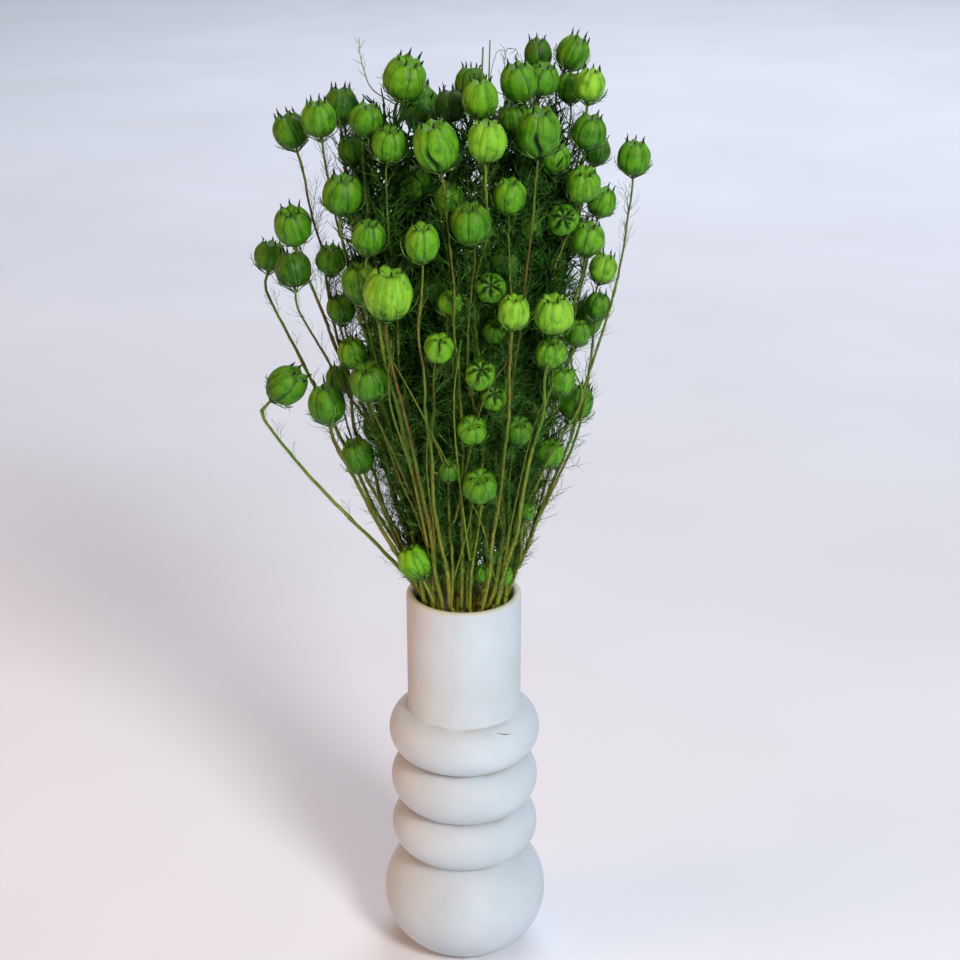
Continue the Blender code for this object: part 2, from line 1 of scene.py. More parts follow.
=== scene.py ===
"""The looks of a bunch of dried nigella seed pods, dyed green, in a ringed white ceramic vase.

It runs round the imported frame: metres, +Z up, the vase's foot at the origin and the front towards -Y.
The bunch is laid out by the same tables and rules as the solids, so each finer stem lies on its own node.
"""

import json
import math
import random
from functools import partial

import bpy
import numpy as np
from mathutils import Matrix, Vector

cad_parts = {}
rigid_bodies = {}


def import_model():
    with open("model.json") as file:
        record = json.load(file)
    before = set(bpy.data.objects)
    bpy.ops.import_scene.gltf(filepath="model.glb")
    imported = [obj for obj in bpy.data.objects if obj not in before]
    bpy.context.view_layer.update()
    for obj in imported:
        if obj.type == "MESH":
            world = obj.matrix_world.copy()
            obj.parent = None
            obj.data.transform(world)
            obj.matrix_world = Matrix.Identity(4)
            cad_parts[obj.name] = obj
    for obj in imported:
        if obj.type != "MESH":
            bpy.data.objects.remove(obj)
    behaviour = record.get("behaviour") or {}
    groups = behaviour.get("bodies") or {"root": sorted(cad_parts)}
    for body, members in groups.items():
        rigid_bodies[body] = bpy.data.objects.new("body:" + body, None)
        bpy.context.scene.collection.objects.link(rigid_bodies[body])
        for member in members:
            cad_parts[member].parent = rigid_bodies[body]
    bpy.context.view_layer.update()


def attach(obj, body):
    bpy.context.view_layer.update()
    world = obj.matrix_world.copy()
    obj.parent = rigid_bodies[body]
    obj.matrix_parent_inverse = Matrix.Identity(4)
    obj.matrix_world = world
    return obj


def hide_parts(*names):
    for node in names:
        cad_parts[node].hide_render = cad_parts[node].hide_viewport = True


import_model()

MM = 0.001

# The vase, turned from one profile: a straight neck over three rings and a round belly.
VASE_HEIGHT = 225 * MM
NECK_RADIUS = 32 * MM
NECK_BORE = 27.5 * MM
CREASE_RADIUS = 31 * MM
WALL = 5.5 * MM
FOOT_RADIUS = 26.5 * MM
FLOOR_HEIGHT = 8 * MM
FLOOR_RADIUS = 29 * MM
# Each swelling: its lower crease, its upper crease and its greatest radius.
SWELLINGS = (
    (62.5 * MM, 92.5 * MM, 42 * MM),
    (92.5 * MM, 124.5 * MM, 42 * MM),
    (124.5 * MM, 154.5 * MM, 42.8 * MM),
)
BELLY = (3 * MM, 62.5 * MM, 47 * MM)
# Below its widest the belly rounds in to the foot on an ellipse: its middle's radius, half axes and end.
BELLY_MIDDLE = 15.5 * MM
BELLY_HALF_AXES = (31.5 * MM, 34.5 * MM)
BELLY_END = math.radians(-68)

# The pods, in radii of the pod.
POD_BASE = -1.0
HORN_REACH = 1.05
BODY_REACH = 0.4

# The stalks, which thin from the cut end to the pod.
STALK_FOOT_RADIUS = 1.9 * MM
STALK_TOP_RADIUS = 0.62 * MM
STALK_THINNEST_AT = 430 * MM
MAIN_STALKS = 36
LEVEL = 24 * MM
FIRST_LEVEL = VASE_HEIGHT - LEVEL
NECK_ROOM = NECK_BORE - 2.6 * MM
FAN_POINT = 118 * MM
STALK_GAP = 1.6 * MM
POD_GAP = 1.2 * MM
APPROACH = 11 * MM
BEND_LIMIT = math.radians(36)
FORK_WIDTH = 0.72
EASING_ROUNDS = 420

# The front view that the pods' places are given in: a 960 by 960 frame seen from this eye point.
FRAME = 960
EYE = Vector((9 * MM, -971 * MM, 683 * MM))
EYE_DOWN = math.radians(22)
FOCAL = 1927

# Every pod that shows from the front: column and row of its middle in the frame, its diameter and its
# distance in front of the vase's axis in mm, then how far it leans to the right and to the front in degrees.
FRONT_PODS = (
    (290, 131, 18, 5, -16, 5), (319, 119, 18, 22, -5, 8), (341, 106, 17, -5, 0, 0),
    (366, 120, 17, 32, 6, 10), (405, 78, 21, 28, 16, 22), (389, 144, 17, 48, 6, 16),
    (436, 146, 23, 60, -10, 12), (450, 106, 16, 14, -5, 0), (480, 99, 18, 34, 0, 5),
    (342, 195, 19, 42, 5, 15), (414, 182, 17, 20, 4, 10), (293, 226, 20, 28, -4, 26),
    (369, 237, 17, 55, 6, 12), (422, 243, 18, 66, 0, 16), (449, 198, 15, 30, 10, 14),
    (427, 212, 14, 2, 0, 0), (471, 224, 19, 60, -6, 18), (270, 256, 16, -8, 8, 0),
    (293, 269, 19, 14, -6, -10), (331, 260, 16, 12, 4, 12), (388, 294, 24, 70, 4, 10),
    (361, 283, 20, 38, -6, 8), (341, 309, 15, 16, -10, 4), (352, 353, 15, 22, -12, 8),
    (287, 385, 22, 8, 42, 12), (327, 404, 20, 24, -8, 2), (339, 379, 15, -6, -6, 0),
    (368, 382, 19, 46, -6, 22), (439, 348, 15, 58, 10, 24), (450, 303, 13, 44, 6, 16),
    (428, 290, 14, 22, 0, 6), (588, 239, 17, 26, 6, 12), (603, 268, 15, 4, 14, 6), (563, 220, 16, 30, 4, 64),
    (531, 228, 13, 26, 4, 20), (598, 306, 14, 6, 6, 6), (554, 314, 20, 50, -2, 16),
    (514, 312, 16, 62, 4, 12), (577, 333, 14, 26, 8, 8), (491, 288, 15, 40, -4, 60),
    (494, 331, 13, 36, 8, 30), (480, 375, 16, 50, 6, 44), (494, 398, 14, 46, 4, 46),
    (551, 353, 16, 40, -4, 16), (562, 381, 14, 24, 8, 10), (472, 430, 15, 48, 2, 40),
    (518, 430, 15, 40, 10, 34), (505, 263, 15, 42, 4, 14), (602, 202, 15, 2, 12, 8),
    (583, 184, 18, 32, 6, 30), (634, 158, 17, 8, 2, 6), (487, 141, 19, 62, 2, 8), (539, 132, 22, 54, 2, 16),
    (519, 82, 19, 30, -8, 14), (543, 79, 17, 12, 10, 18), (538, 55, 15, -14, -4, 10),
    (573, 53, 17, -6, 24, 12), (590, 85, 16, 24, 6, 8), (571, 88, 14, 2, 0, 4), (589, 132, 17, 24, 8, 10),
    (597, 151, 14, 0, 12, 4), (556, 158, 15, 28, 0, 12), (510, 196, 16, 46, 2, 16),
    (514, 118, 16, 20, -4, 6), (449, 470, 13, 42, 2, 26), (480, 486, 18, 46, -2, 36),
    (550, 453, 15, 14, 20, 6), (358, 455, 18, 8, -16, 12), (415, 562, 18, 26, -24, -6),
    (375, 428, 14, 2, -10, 4), (527, 512, 9, 20, 12, 10), (424, 484, 9, 34, 0, 12),
    (484, 573, 10, 22, 0, 20), (503, 575, 11, 14, 10, 14), (352, 150, 15, 12, -4, 4),
)

# The pods of the back, which the front view hides, by rule: a golden-angle spiral up the back of the bunch.
BACK_PODS = 16
BACK_FIRST_HEIGHT = 330 * MM
BACK_LAST_HEIGHT = 505 * MM
BACK_REACH = (66 * MM, 58 * MM)
BACK_DIAMETERS = (19 * MM, 16 * MM, 21 * MM, 17 * MM)
GOLDEN_ANGLE = math.radians(137.5)


def nearest_points(a0, a1, b0, b1):
    """How far along each segment a0-a1 and b0-b1 come closest, from 0 to 1, for arrays of segments."""
    along_a, along_b, between = a1 - a0, b1 - b0, a0 - b0
    aa = np.maximum((along_a**2).sum(-1), 1e-12)
    bb = np.maximum((along_b**2).sum(-1), 1e-12)
    ab = (along_a * along_b).sum(-1)
    ac = (along_a * between).sum(-1)
    bc = (along_b * between).sum(-1)
    s = np.clip((ab * bc - ac * bb) / np.maximum(aa * bb - ab**2, 1e-15), 0, 1)
    t = np.clip((ab * s + bc) / bb, 0, 1)
    s = np.clip((ab * t - ac) / aa, 0, 1)
    return s, t


class Pod:
    def __init__(self, middle, radius, axis, sight):
        self.middle = np.array(middle, float)
        self.radius = radius
        self.axis = np.array(Vector(axis).normalized(), float)
        self.sight = np.array(sight, float)
        self.spin = 0.0

    def base(self):
        return self.middle + self.axis * self.radius * POD_BASE

    def reach(self):
        """The ends of the line that a body of this radius round, out to its horns, is swept along."""
        return self.middle, self.middle + self.axis * self.radius * BODY_REACH


def lean_axis(right, front):
    """A pod's axis from its lean to the right and to the front, in degrees."""
    up = Vector((0, 0, 1))
    up.rotate(Matrix.Rotation(math.radians(front), 3, "X"))
    up.rotate(Matrix.Rotation(math.radians(right), 3, "Y"))
    return up


def front_pod(column, row, diameter, front, right_lean, front_lean):
    """A pod where its column and row of the front view meet the plane that far in front of the axis."""
    ahead = Vector((0, math.cos(EYE_DOWN), -math.sin(EYE_DOWN)))
    up = Vector((0, math.sin(EYE_DOWN), math.cos(EYE_DOWN)))
    sight = ahead + Vector((1, 0, 0)) * ((column - FRAME / 2) / FOCAL) - up * ((row - FRAME / 2) / FOCAL)
    sight /= sight.y
    middle = EYE + sight * (-front * MM - EYE.y)
    return Pod(middle, diameter / 2 * MM, lean_axis(right_lean, front_lean), sight)


def back_pod(number):
    share = (number + 0.5) / BACK_PODS
    height = BACK_FIRST_HEIGHT + (BACK_LAST_HEIGHT - BACK_FIRST_HEIGHT) * share
    turn = (number * GOLDEN_ANGLE) % math.pi
    swell = math.sin(math.pi * (0.35 + 0.5 * share))
    across = BACK_REACH[0] * swell * math.cos(turn)
    behind = BACK_REACH[1] * swell * math.sin(turn)
    axis = Vector((across, behind, 0.16))
    diameter = BACK_DIAMETERS[number % len(BACK_DIAMETERS)]
    return Pod((across, behind, height), diameter / 2, axis, (0, 1, 0))


def part_pods(pods):
    """Slides touching pods apart, nearer or farther along the lines of sight, so the front view keeps."""
    first, second = np.triu_indices(len(pods), 1)
    radius = np.array([p.radius for p in pods])
    sight = np.array([p.sight for p in pods])
    wanted = (radius[first] + radius[second]) * HORN_REACH + POD_GAP
    for _ in range(EASING_ROUNDS):
        start = np.array([p.reach()[0] for p in pods])
        end = np.array([p.reach()[1] for p in pods])
        s, t = nearest_points(start[first], end[first], start[second], end[second])
        near_a = start[first] + (end - start)[first] * s[:, None]
        near_b = start[second] + (end - start)[second] * t[:, None]
        short = wanted - np.linalg.norm(near_a - near_b, axis=1)
        side = np.where(near_a[:, 1] < near_b[:, 1], -1.0, 1.0)
        step = np.where(short > 0, np.minimum(short + 0.2 * MM, 1.5 * MM), 0) * side * 0.5
        slide = np.zeros(len(pods))
        np.add.at(slide, first, step)
        np.add.at(slide, second, -step)
        if not slide.any():
            break
        for pod, moved, line in zip(pods, slide, sight):
            pod.middle = pod.middle + line * moved


def shared_stalks(pods):
    """Sorts the pods into stalks by the way that they fan from the vase: each stalk's pods, tallest first."""
    place = np.array([p.base() for p in pods])
    fan = place[:, :2] / (place[:, 2:] - FAN_POINT)
    seeds = [int(np.argmax(place[:, 2]))]
    while len(seeds) < MAIN_STALKS:
        gaps = np.linalg.norm(fan[:, None] - fan[None, seeds], axis=2).min(1)
        seeds.append(int(np.argmax(gaps)))
    middles = fan[seeds]
    for _ in range(12):
        nearest = np.linalg.norm(fan[:, None] - middles[None], axis=2).argmin(1)
        middles = np.array([fan[nearest == k].mean(0) for k in range(MAIN_STALKS)])
    by_height = [int(i) for i in np.argsort(-place[:, 2], kind="stable")]
    groups = [[i for i in by_height if nearest[i] == k] for k in range(MAIN_STALKS)]
    return groups, middles


class Stalk:
    """One run of stalk up to one pod. Its points are rows of one array; a fork's first is its parent's."""

    def __init__(self, node, pod, points, fixed, parent=None):
        self.node = node
        self.pod = pod
        self.points = points
        self.fixed = fixed
        self.parent = parent


def approach(pod, base, neck):
    """The last points of a stalk below its pod, lowest first, which turn it to the pod's own lean."""
    axis = Vector(pod.axis)
    climb = Vector(base - neck).normalized()
    turns = max(1, round(axis.angle(climb) / BEND_LIMIT))
    point, bends = Vector(base), []
    for number in range(turns):
        point = point - axis.lerp(climb, number / turns).normalized() * (APPROACH / turns**0.5)
        bends.insert(0, np.array(point))
    return bends


def lay_stalks(pods, groups, middles):
    """First places for every stalk: up through the neck, then fanned to its pod, forking at a level."""
    places, held, stalks = [], [], []

    def add(x, y, z, fixed):
        places.append((x, y, z))
        held.append(fixed)
        return len(places) - 1

    for node, group in enumerate(groups):
        main = None
        for i in group:
            pod = pods[i]
            base = pod.base()
            neck = middles[node] * (VASE_HEIGHT - FAN_POINT)
            bends = approach(pod, base, np.array([*neck, VASE_HEIGHT]))
            last = bends[0]
            rows = []
            if main is None:
                start = np.array([*neck, FIRST_LEVEL])
                rows.append(add(*start, False))
            else:
                levels = [r for r in main.points if places[r][2] < base[2] - 0.8 * LEVEL]
                share = 0.5 if base[2] > VASE_HEIGHT + 4 * LEVEL else 0.2
                rows.append(levels[max(1, int(len(levels) * share))] if len(levels) > 2 else levels[-1])
                start = np.array(places[rows[0]])
            height = start[2] + LEVEL
            while height < last[2] - 0.45 * LEVEL:
                share = (height - start[2]) / (last[2] - start[2])
                spot = start[:2] + (last[:2] - start[:2]) * share
                rows.append(add(*spot, height, False))
                height += LEVEL
            rows += [add(*bend, True) for bend in bends]
            rows.append(add(*base, True))
            stalk = Stalk(node, i, rows, len(rows) - 2, main)
            stalks.append(stalk)
            main = main or stalk
    return stalks, np.array(places), np.array(held)


def ease_stalks(pods, stalks, places, held):
    """Bends the stalks clear of each other and of the pods, within the bore, each point at its height."""
    ends = np.array([(a, b) for s in stalks for a, b in zip(s.points, s.points[1:])])
    owner = np.array([k for k, s in enumerate(stalks) for _ in s.points[1:]])
    low, high = places[ends[:, 0], 2], places[ends[:, 1], 2]
    radius = np.array([stalk_radius(z) for z in low])
    a, b = np.triu_indices(len(ends), 1)
    keep = (owner[a] != owner[b]) & (np.minimum(high[a], high[b]) > np.maximum(low[a], low[b]) - 3 * MM)
    shared = (ends[a][:, :, None] == ends[b][:, None, :]).any((1, 2))
    a, b = a[keep & ~shared], b[keep & ~shared]
    wanted = radius[a] + radius[b] + STALK_GAP
    pod_low = np.array([p.reach()[0] for p in pods])
    pod_high = np.array([p.reach()[1] for p in pods])
    pod_radius = np.array([p.radius for p in pods]) * HORN_REACH
    segment, pod = np.meshgrid(np.arange(len(ends)), np.arange(len(pods)), indexing="ij")
    segment, pod = segment.ravel(), pod.ravel()
    own = np.array([s.pod for s in stalks])[owner[segment]] == pod
    near = np.abs((low + high)[segment] / 2 - pod_low[pod][:, 2]) < LEVEL + pod_radius[pod] * 2
    segment, pod = segment[near & ~own], pod[near & ~own]
    pod_wanted = pod_radius[pod] + radius[segment] + POD_GAP
    free = ~held
    lines = [s.points for s in stalks]
    neck = free & (places[:, 2] < VASE_HEIGHT + 1 * MM)

    def push(moves, rows, share, amount, way):
        np.add.at(moves, ends[rows, 0], way * (amount * (1 - share))[:, None])
        np.add.at(moves, ends[rows, 1], way * (amount * share)[:, None])

    for round_number in range(EASING_ROUNDS):
        smooth = np.zeros((len(places), 2))
        count = np.zeros(len(places))
        for rows in lines:
            line = places[rows, :2]
            smooth[rows[1:-1]] += (line[:-2] + line[2:]) / 2 - line[1:-1]
            count[rows[1:-1]] += 1
        ease = 0.45 if round_number < EASING_ROUNDS * 0.7 else 0.1
        places[free, :2] += ease * (smooth / np.maximum(count, 1)[:, None])[free]
        moves = np.zeros((len(places), 2))
        s, t = nearest_points(places[ends[a, 0]], places[ends[a, 1]], places[ends[b, 0]], places[ends[b, 1]])
        spot_a = places[ends[a, 0]] + (places[ends[a, 1]] - places[ends[a, 0]]) * s[:, None]
        spot_b = places[ends[b, 0]] + (places[ends[b, 1]] - places[ends[b, 0]]) * t[:, None]
        gap = spot_a - spot_b
        far = np.linalg.norm(gap, axis=1)
        short = np.maximum(wanted - far, 0) * 0.6
        way = gap[:, :2] / np.maximum(np.linalg.norm(gap[:, :2], axis=1), 1e-6)[:, None]
        push(moves, a, s, short, way)
        push(moves, b, t, short, -way)
        start, end = places[ends[segment, 0]], places[ends[segment, 1]]
        s, t = nearest_points(start, end, pod_low[pod], pod_high[pod])
        spot = start + (end - start) * s[:, None]
        gap = spot - (pod_low[pod] + (pod_high - pod_low)[pod] * t[:, None])
        short = np.maximum(pod_wanted - np.linalg.norm(gap, axis=1), 0)
        way = gap[:, :2] / np.maximum(np.linalg.norm(gap[:, :2], axis=1), 1e-6)[:, None]
        push(moves, segment, s, short, way)
        size = np.linalg.norm(moves, axis=1)
        moves *= (np.minimum(size, 2.5 * MM) / np.maximum(size, 1e-9))[:, None]
        places[free, :2] += moves[free]
        reach = np.linalg.norm(places[:, :2], axis=1)
        over = neck & (reach > NECK_ROOM)
        places[over, :2] *= (NECK_ROOM / reach[over])[:, None]
    return places


def stalk_radius(height):
    share = min(1.0, max(0.0, height / STALK_THINNEST_AT))
    return STALK_FOOT_RADIUS + (STALK_TOP_RADIUS - STALK_FOOT_RADIUS) * share


def arrange_bunch():
    """The pods in place, and every stalk's centre line as points from its root or fork up to its pod."""
    pods = [front_pod(*row) for row in FRONT_PODS] + [back_pod(n) for n in range(BACK_PODS)]
    part_pods(pods)
    groups, middles = shared_stalks(pods)
    stalks, places, held = lay_stalks(pods, groups, middles)
    places = ease_stalks(pods, stalks, places, held)
    for number, pod in enumerate(pods):
        pod.spin = number * GOLDEN_ANGLE
    lines = []
    for stalk in stalks:
        line = [Vector(places[r]) for r in stalk.points]
        if stalk.parent is None:
            root = line[0].copy()
            root.z = FLOOR_HEIGHT + 0.5 * MM
            line.insert(0, root)
        lines.append(line)
    return pods, stalks, lines


def swelling(low, high, greatest, parts=6):
    """Profile points up one swelling, a round arc from its lower crease to just short of its upper one."""
    half, depth = (high - low) / 2, greatest - CREASE_RADIUS
    arc = (half**2 + depth**2) / (2 * depth)
    end = math.asin(half / arc)
    turns = [end * (2 * number / parts - 1) for number in range(parts)]
    return [(greatest - arc + arc * math.cos(t), (low + high) / 2 + arc * math.sin(t)) for t in turns]


def belly(parts=6):
    """Profile points up the belly, from the foot's edge to just short of the crease over it."""
    low, high, greatest = BELLY
    across, down = BELLY_HALF_AXES
    turns = [BELLY_END * (1 - 2 * number / parts) for number in range(parts // 2)]
    under = [(BELLY_MIDDLE + across * math.cos(t), (low + high) / 2 + down * math.sin(t)) for t in turns]
    return under + swelling(low, high, greatest, parts)[parts // 2 :]


def hollow(low, high, greatest):
    """The wall's inside behind one swelling, from the top down to its lower crease."""
    quarter = (high - low) / 4
    inside = greatest - WALL
    return [(inside, high - quarter), (inside, low + quarter), (NECK_BORE, low)]


# The finer vase.
VASE_STEPS = 112
SWELL_PARTS = 26
RIM_STEPS = 10
FOOT_BEVEL = (1.5 * MM, 0.3 * MM)
# A chip in the glaze of the uppermost ring: the turn in degrees and the height of its ends and middle.
CHIP = ((-59.8, 151.8 * MM), (-54, 150.6 * MM), (-48, 149.7 * MM))
CHIP_RADII = (0.1 * MM, 0.32 * MM, 0.1 * MM)

# The finer pods, in radii of the pod. The body is a rounded sphere up to the crown, which goes by its own
# outline: share of the way to its middle, radius and height.
LOBE_STEPS = 8
POD_RING_COUNT = 19
CROWN_FROM = 0.78
CROWN_LATITUDE = math.radians(52)
FULLNESS = 0.78
CROWN = ((0.0, 0.685, 0.788), (0.22, 0.63, 0.88), (0.5, 0.45, 0.89), (0.75, 0.22, 0.81), (1.0, 0.0, 0.76))
BEAK_AT = 0.36
BEAK_RISE = 0.15
# Where a horn leaves its beak, out and up, and the rise over which its colour goes from green to black.
HORN_FOOT = (0.54, 0.98)
HORN_RISE = 0.45
HORN_STEPS = 5
BRACTS = 10
BRACT_STEPS = 6
BRACT_RADIUS = 0.038
SIDE_BRACT_RADII = (0.02, 0.016, 0.01)
# Each kind of pod: carpels, height to width, how deep its grooves are, and its gaping seams: how far they
# gape, how high up, and how many there are.
POD_KINDS = {
    "round_six": (6, 1.0, 0.9, 0.0, 0.0, 0),
    "round_five": (5, 0.96, 0.9, 0.0, 0.0, 0),
    "tall_six": (6, 1.07, 0.7, 0.0, 0.0, 0),
    "broad_seven": (7, 0.96, 0.65, 0.0, 0.0, 0),
    "lean_five": (5, 1.06, 0.9, 0.0, 0.0, 0),
    "open_six": (6, 0.97, 1.6, 0.55, 0.9, 6),
    "gaping_six": (6, 1.06, 0.9, 0.5, -0.25, 1),
    "notched_five": (5, 1.0, 1.2, 0.45, 0.8, 1),
}
# The kinds that stand out in the front view, by the number of the pod in the table above.
CHOSEN_KINDS = {
    4: "broad_seven", 6: "gaping_six", 8: "lean_five", 20: "tall_six", 28: "notched_five", 33: "open_six",
    36: "broad_seven", 39: "open_six", 41: "open_six", 42: "open_six", 50: "tall_six", 52: "gaping_six",
}
# The other pods take these kinds in turn.
PLAIN_KINDS = ("round_six", "broad_seven", "tall_six", "round_five", "round_six", "broad_seven", "lean_five")
# The pods whose gaping seam shows: how far it is turned from the front, in degrees.
FACING = {6: -20, 28: -4, 52: -8}
# How pale each pod is painted, 0 to 1, on the pods that stand out: partly its dye and partly painted light
# and shade, lit pods paler and shaded ones darker. The others are painted paler the nearer they are to the
# front.
PAINTED_LIGHT_FROM = 20 * MM
PAINTED_LIGHT_SPAN = 90 * MM
DYE_AND_LIGHT_TONES = {
    0: 0.5, 2: 0.3, 4: 0.74, 6: 0.72, 7: 0.12, 8: 0.8, 9: 0.52, 13: 0.73, 15: 0.25, 16: 0.52, 18: 0.3,
    20: 0.97, 25: 0.48, 27: 0.4, 30: 0.25, 31: 0.72, 32: 0.92, 34: 0.25, 36: 0.98, 37: 0.96, 46: 0.4,
    47: 0.2, 51: 0.93, 55: 0.3, 57: 1.0, 60: 0.25, 64: 0.3, 65: 0.56, 67: 0.4, 68: 0.85, 69: 0.25, 71: 0.2,
}

# The finer stalks: how far they kink and how uneven they are, both in mm, and the swollen joints up them.
STALK_SIDES = 6
STALK_SPACING = 4 * MM
STALK_KINK = 1.3
STALK_ROUGHNESS = 0.22
JOINT_SPACING = 62 * MM
JOINT_SWELL = 0.35

# The thread leaves. They fill the middle of the bunch, which swells from the vase's mouth upwards.
THREAD_SIDES = 3
LEAF_LENGTH = 30 * MM
LEAF_STEP = 2.4 * MM
LEAF_RIB_STEPS = 4
THREAD_RADIUS = 0.2 * MM
# Each sort of leaf: its threads' radius at the root, and how many shapes of it there are.
LEAF_SORTS = {"deep": (0.78 * MM, 5), "dark": (0.38 * MM, 6), "light": (THREAD_RADIUS, 4)}
SIDE_THREADS = 6
# This far from the axis a leaf turns inwards as strongly as it stands off its stalk.
INWARD_AT = 60 * MM
LEAFY_HALF_WIDTH = 72 * MM
LEAFY_HALF_DEPTH = 58 * MM
LEAFY_HEIGHTS = (225 * MM, 245 * MM, 300 * MM, 370 * MM, 450 * MM, 530 * MM)
LEAFY_SWELL = (0.36, 0.42, 0.7, 0.84, 1.0, 0.85)
# Leaves start at the first of these heights. They stay close in under the second, are small over the third,
# and no tip of a coarse or a light one passes the fourth or the fifth.
FIRST_LEAVES = VASE_HEIGHT + 6 * MM
LOW_LEAVES = 340 * MM
HIGH_LEAVES = 482 * MM
COARSE_TOP = 503 * MM
LIGHT_TOP = 515 * MM

# Bare tips and twigs past the pods, and stalks that cross the others low down, listed one by one: radius in
# mm, the number of the stalk skin, feathered or not, and points from the root on, each its column, row and mm
# in front of the axis.
TWIG_SPACING = 3 * MM
TWIGS = (
    (0.7, 0, False, (483, 112, 22), (482, 79, 20), (483, 47, 18)),
    (0.6, 0, False, (488, 115, 16), (489, 77, 14), (490, 40, 12)),
    (0.3, 0, True, (505, 100, 10), (505, 60, 8), (508, 48, 8), (516, 49, 8), (519, 58, 8)),
    (0.25, 0, False, (492, 88, 12), (494, 60, 10), (499, 50, 12), (505, 52, 16), (503, 58, 18)),
    (0.35, 0, True, (372, 89, 10), (364, 70, 8), (360, 54, 6), (359, 38, 4)),
    (0.6, 1, False, (535, 470, 10), (560, 438, 8), (577, 425, 6)),
    (0.5, 1, False, (482, 593, 20), (521, 536, 16), (539, 504, 14), (557, 482, 12)),
    (0.8, 1, False, (428, 545, 34), (411, 470, 44), (390, 402, 52), (391, 340, 60)),
    (0.6, 1, False, (445, 470, 44), (425, 420, 50), (394, 363, 56)),
    (0.6, 2, False, (455, 520, 36), (482, 405, 50), (518, 348, 56)),
    (0.7, 2, False, (434, 585, 24), (434, 533, 36), (427, 473, 46), (428, 425, 50)),
    (0.6, 0, False, (470, 560, 32), (458, 467, 46), (454, 399, 54), (461, 340, 62)),
    (0.5, 1, False, (452, 585, 26), (470, 520, 38), (476, 470, 44)),
    (0.5, 0, False, (495, 580, 24), (480, 520, 36), (446, 460, 46), (430, 430, 50)),
    (0.5, 2, False, (440, 590, 24), (418, 520, 36), (400, 480, 42), (380, 425, 48)),
    (0.5, 1, False, (500, 585, 20), (512, 520, 32), (530, 440, 40), (546, 395, 44)),
)

# Each part of the bunch has its own seeded draw. A pod's or a stalk's number is added to its seed.
POD_SEED = 500
STALK_SEED = 900
LEAF_SEED = 1300
TWIG_SEED = 77
LEAF_KIND_SEED = 100

# How wide the marks of each finish are on the real thing.
DYE_PATCH = 4.35 * MM
NET_MESH = 5.26 * MM
STALK_PATCH = 11.1 * MM
STALK_RIB = 0.77 * MM
THREAD_PATCH = 6.67 * MM
GLAZE_CLOUD = 41.7 * MM
GRIT_SPACING = 10.53 * MM
DIRT_PATCH = 22.2 * MM
GLAZE_RIPPLE = 8.33 * MM
BOARD_CLOUD = 333 * MM
# The marks that run up a pod, to a radius of it.
STREAKS = 4.5
BREAKS = 2.2

# The settings of a node that lays one colour over another, and of one that multiplies two colours.
OVER = {"data_type": "RGBA"}
TINT = {"data_type": "RGBA", "blend_type": "MULTIPLY"}


def alone(obj):
    """Selects one object only, and makes it the one that operators work on."""
    bpy.ops.object.select_all(action="DESELECT")
    obj.select_set(True)
    bpy.context.view_layer.objects.active = obj


def in_edit_mode(obj, *steps):
    """Runs each step with all of the object's mesh selected in edit mode."""
    alone(obj)
    bpy.ops.object.mode_set(mode="EDIT")
    bpy.ops.mesh.select_all(action="SELECT")
    for step in steps:
        step()
    bpy.ops.object.mode_set(mode="OBJECT")


def merge_close():
    bpy.ops.mesh.remove_doubles(threshold=0.01 * MM)


def face_outwards():
    bpy.ops.mesh.normals_make_consistent(inside=False)


def linear(colour):
    """An sRGB hex colour as the linear values that shaders take."""
    parts = [int(colour[k : k + 2], 16) / 255 for k in (1, 3, 5)]
    return tuple(p / 12.92 if p <= 0.04045 else ((p + 0.055) / 1.055) ** 2.4 for p in parts) + (1.0,)


def new_material(name, colour, roughness, gloss):
    material = bpy.data.materials.new(name)
    material.use_nodes = True
    shader = material.node_tree.nodes["Principled BSDF"]
    shader.inputs["Base Color"].default_value = linear(colour)
    shader.inputs["Roughness"].default_value = roughness
    shader.inputs["Specular IOR Level"].default_value = gloss
    return material


def dressed(material, colour, bump=None, rough=None):
    """Feeds a finished pattern to the material's shader."""
    shader = material.node_tree.nodes["Principled BSDF"]
    for node, socket in ((colour, "Base Color"), (bump, "Normal"), (rough, "Roughness")):
        if node:
            output = next(output for output in node.outputs if output.enabled)
            material.node_tree.links.new(output, shader.inputs[socket])
    return material


def add_node(material, kind, links=None, stops=(), **settings):
    """Adds a node with its settings, its ramp's stops and its inputs.

    An input is a node, a socket, a value or a colour, and goes by name or by number. On a colour mix 0 is the
    factor, and 6 and 7 are the two colours. On a map range 1 and 2 are the ends that it reads from, and 3 and
    4 those that it maps to.
    """
    node = material.node_tree.nodes.new("ShaderNode" + kind)
    for name, value in settings.items():
        setattr(node, name, value)
    for _ in stops[2:]:
        node.color_ramp.elements.new(0.5)
    for element, (place, colour) in zip(node.color_ramp.elements if stops else (), stops):
        element.position = place
        element.color = linear(colour)
    for socket, value in (links or {}).items():
        if isinstance(value, bpy.types.Node):
            value = next(output for output in value.outputs if output.enabled)
        if isinstance(value, bpy.types.NodeSocket):
            material.node_tree.links.new(value, node.inputs[socket])
        else:
            node.inputs[socket].default_value = linear(value) if isinstance(value, str) else value
    return node


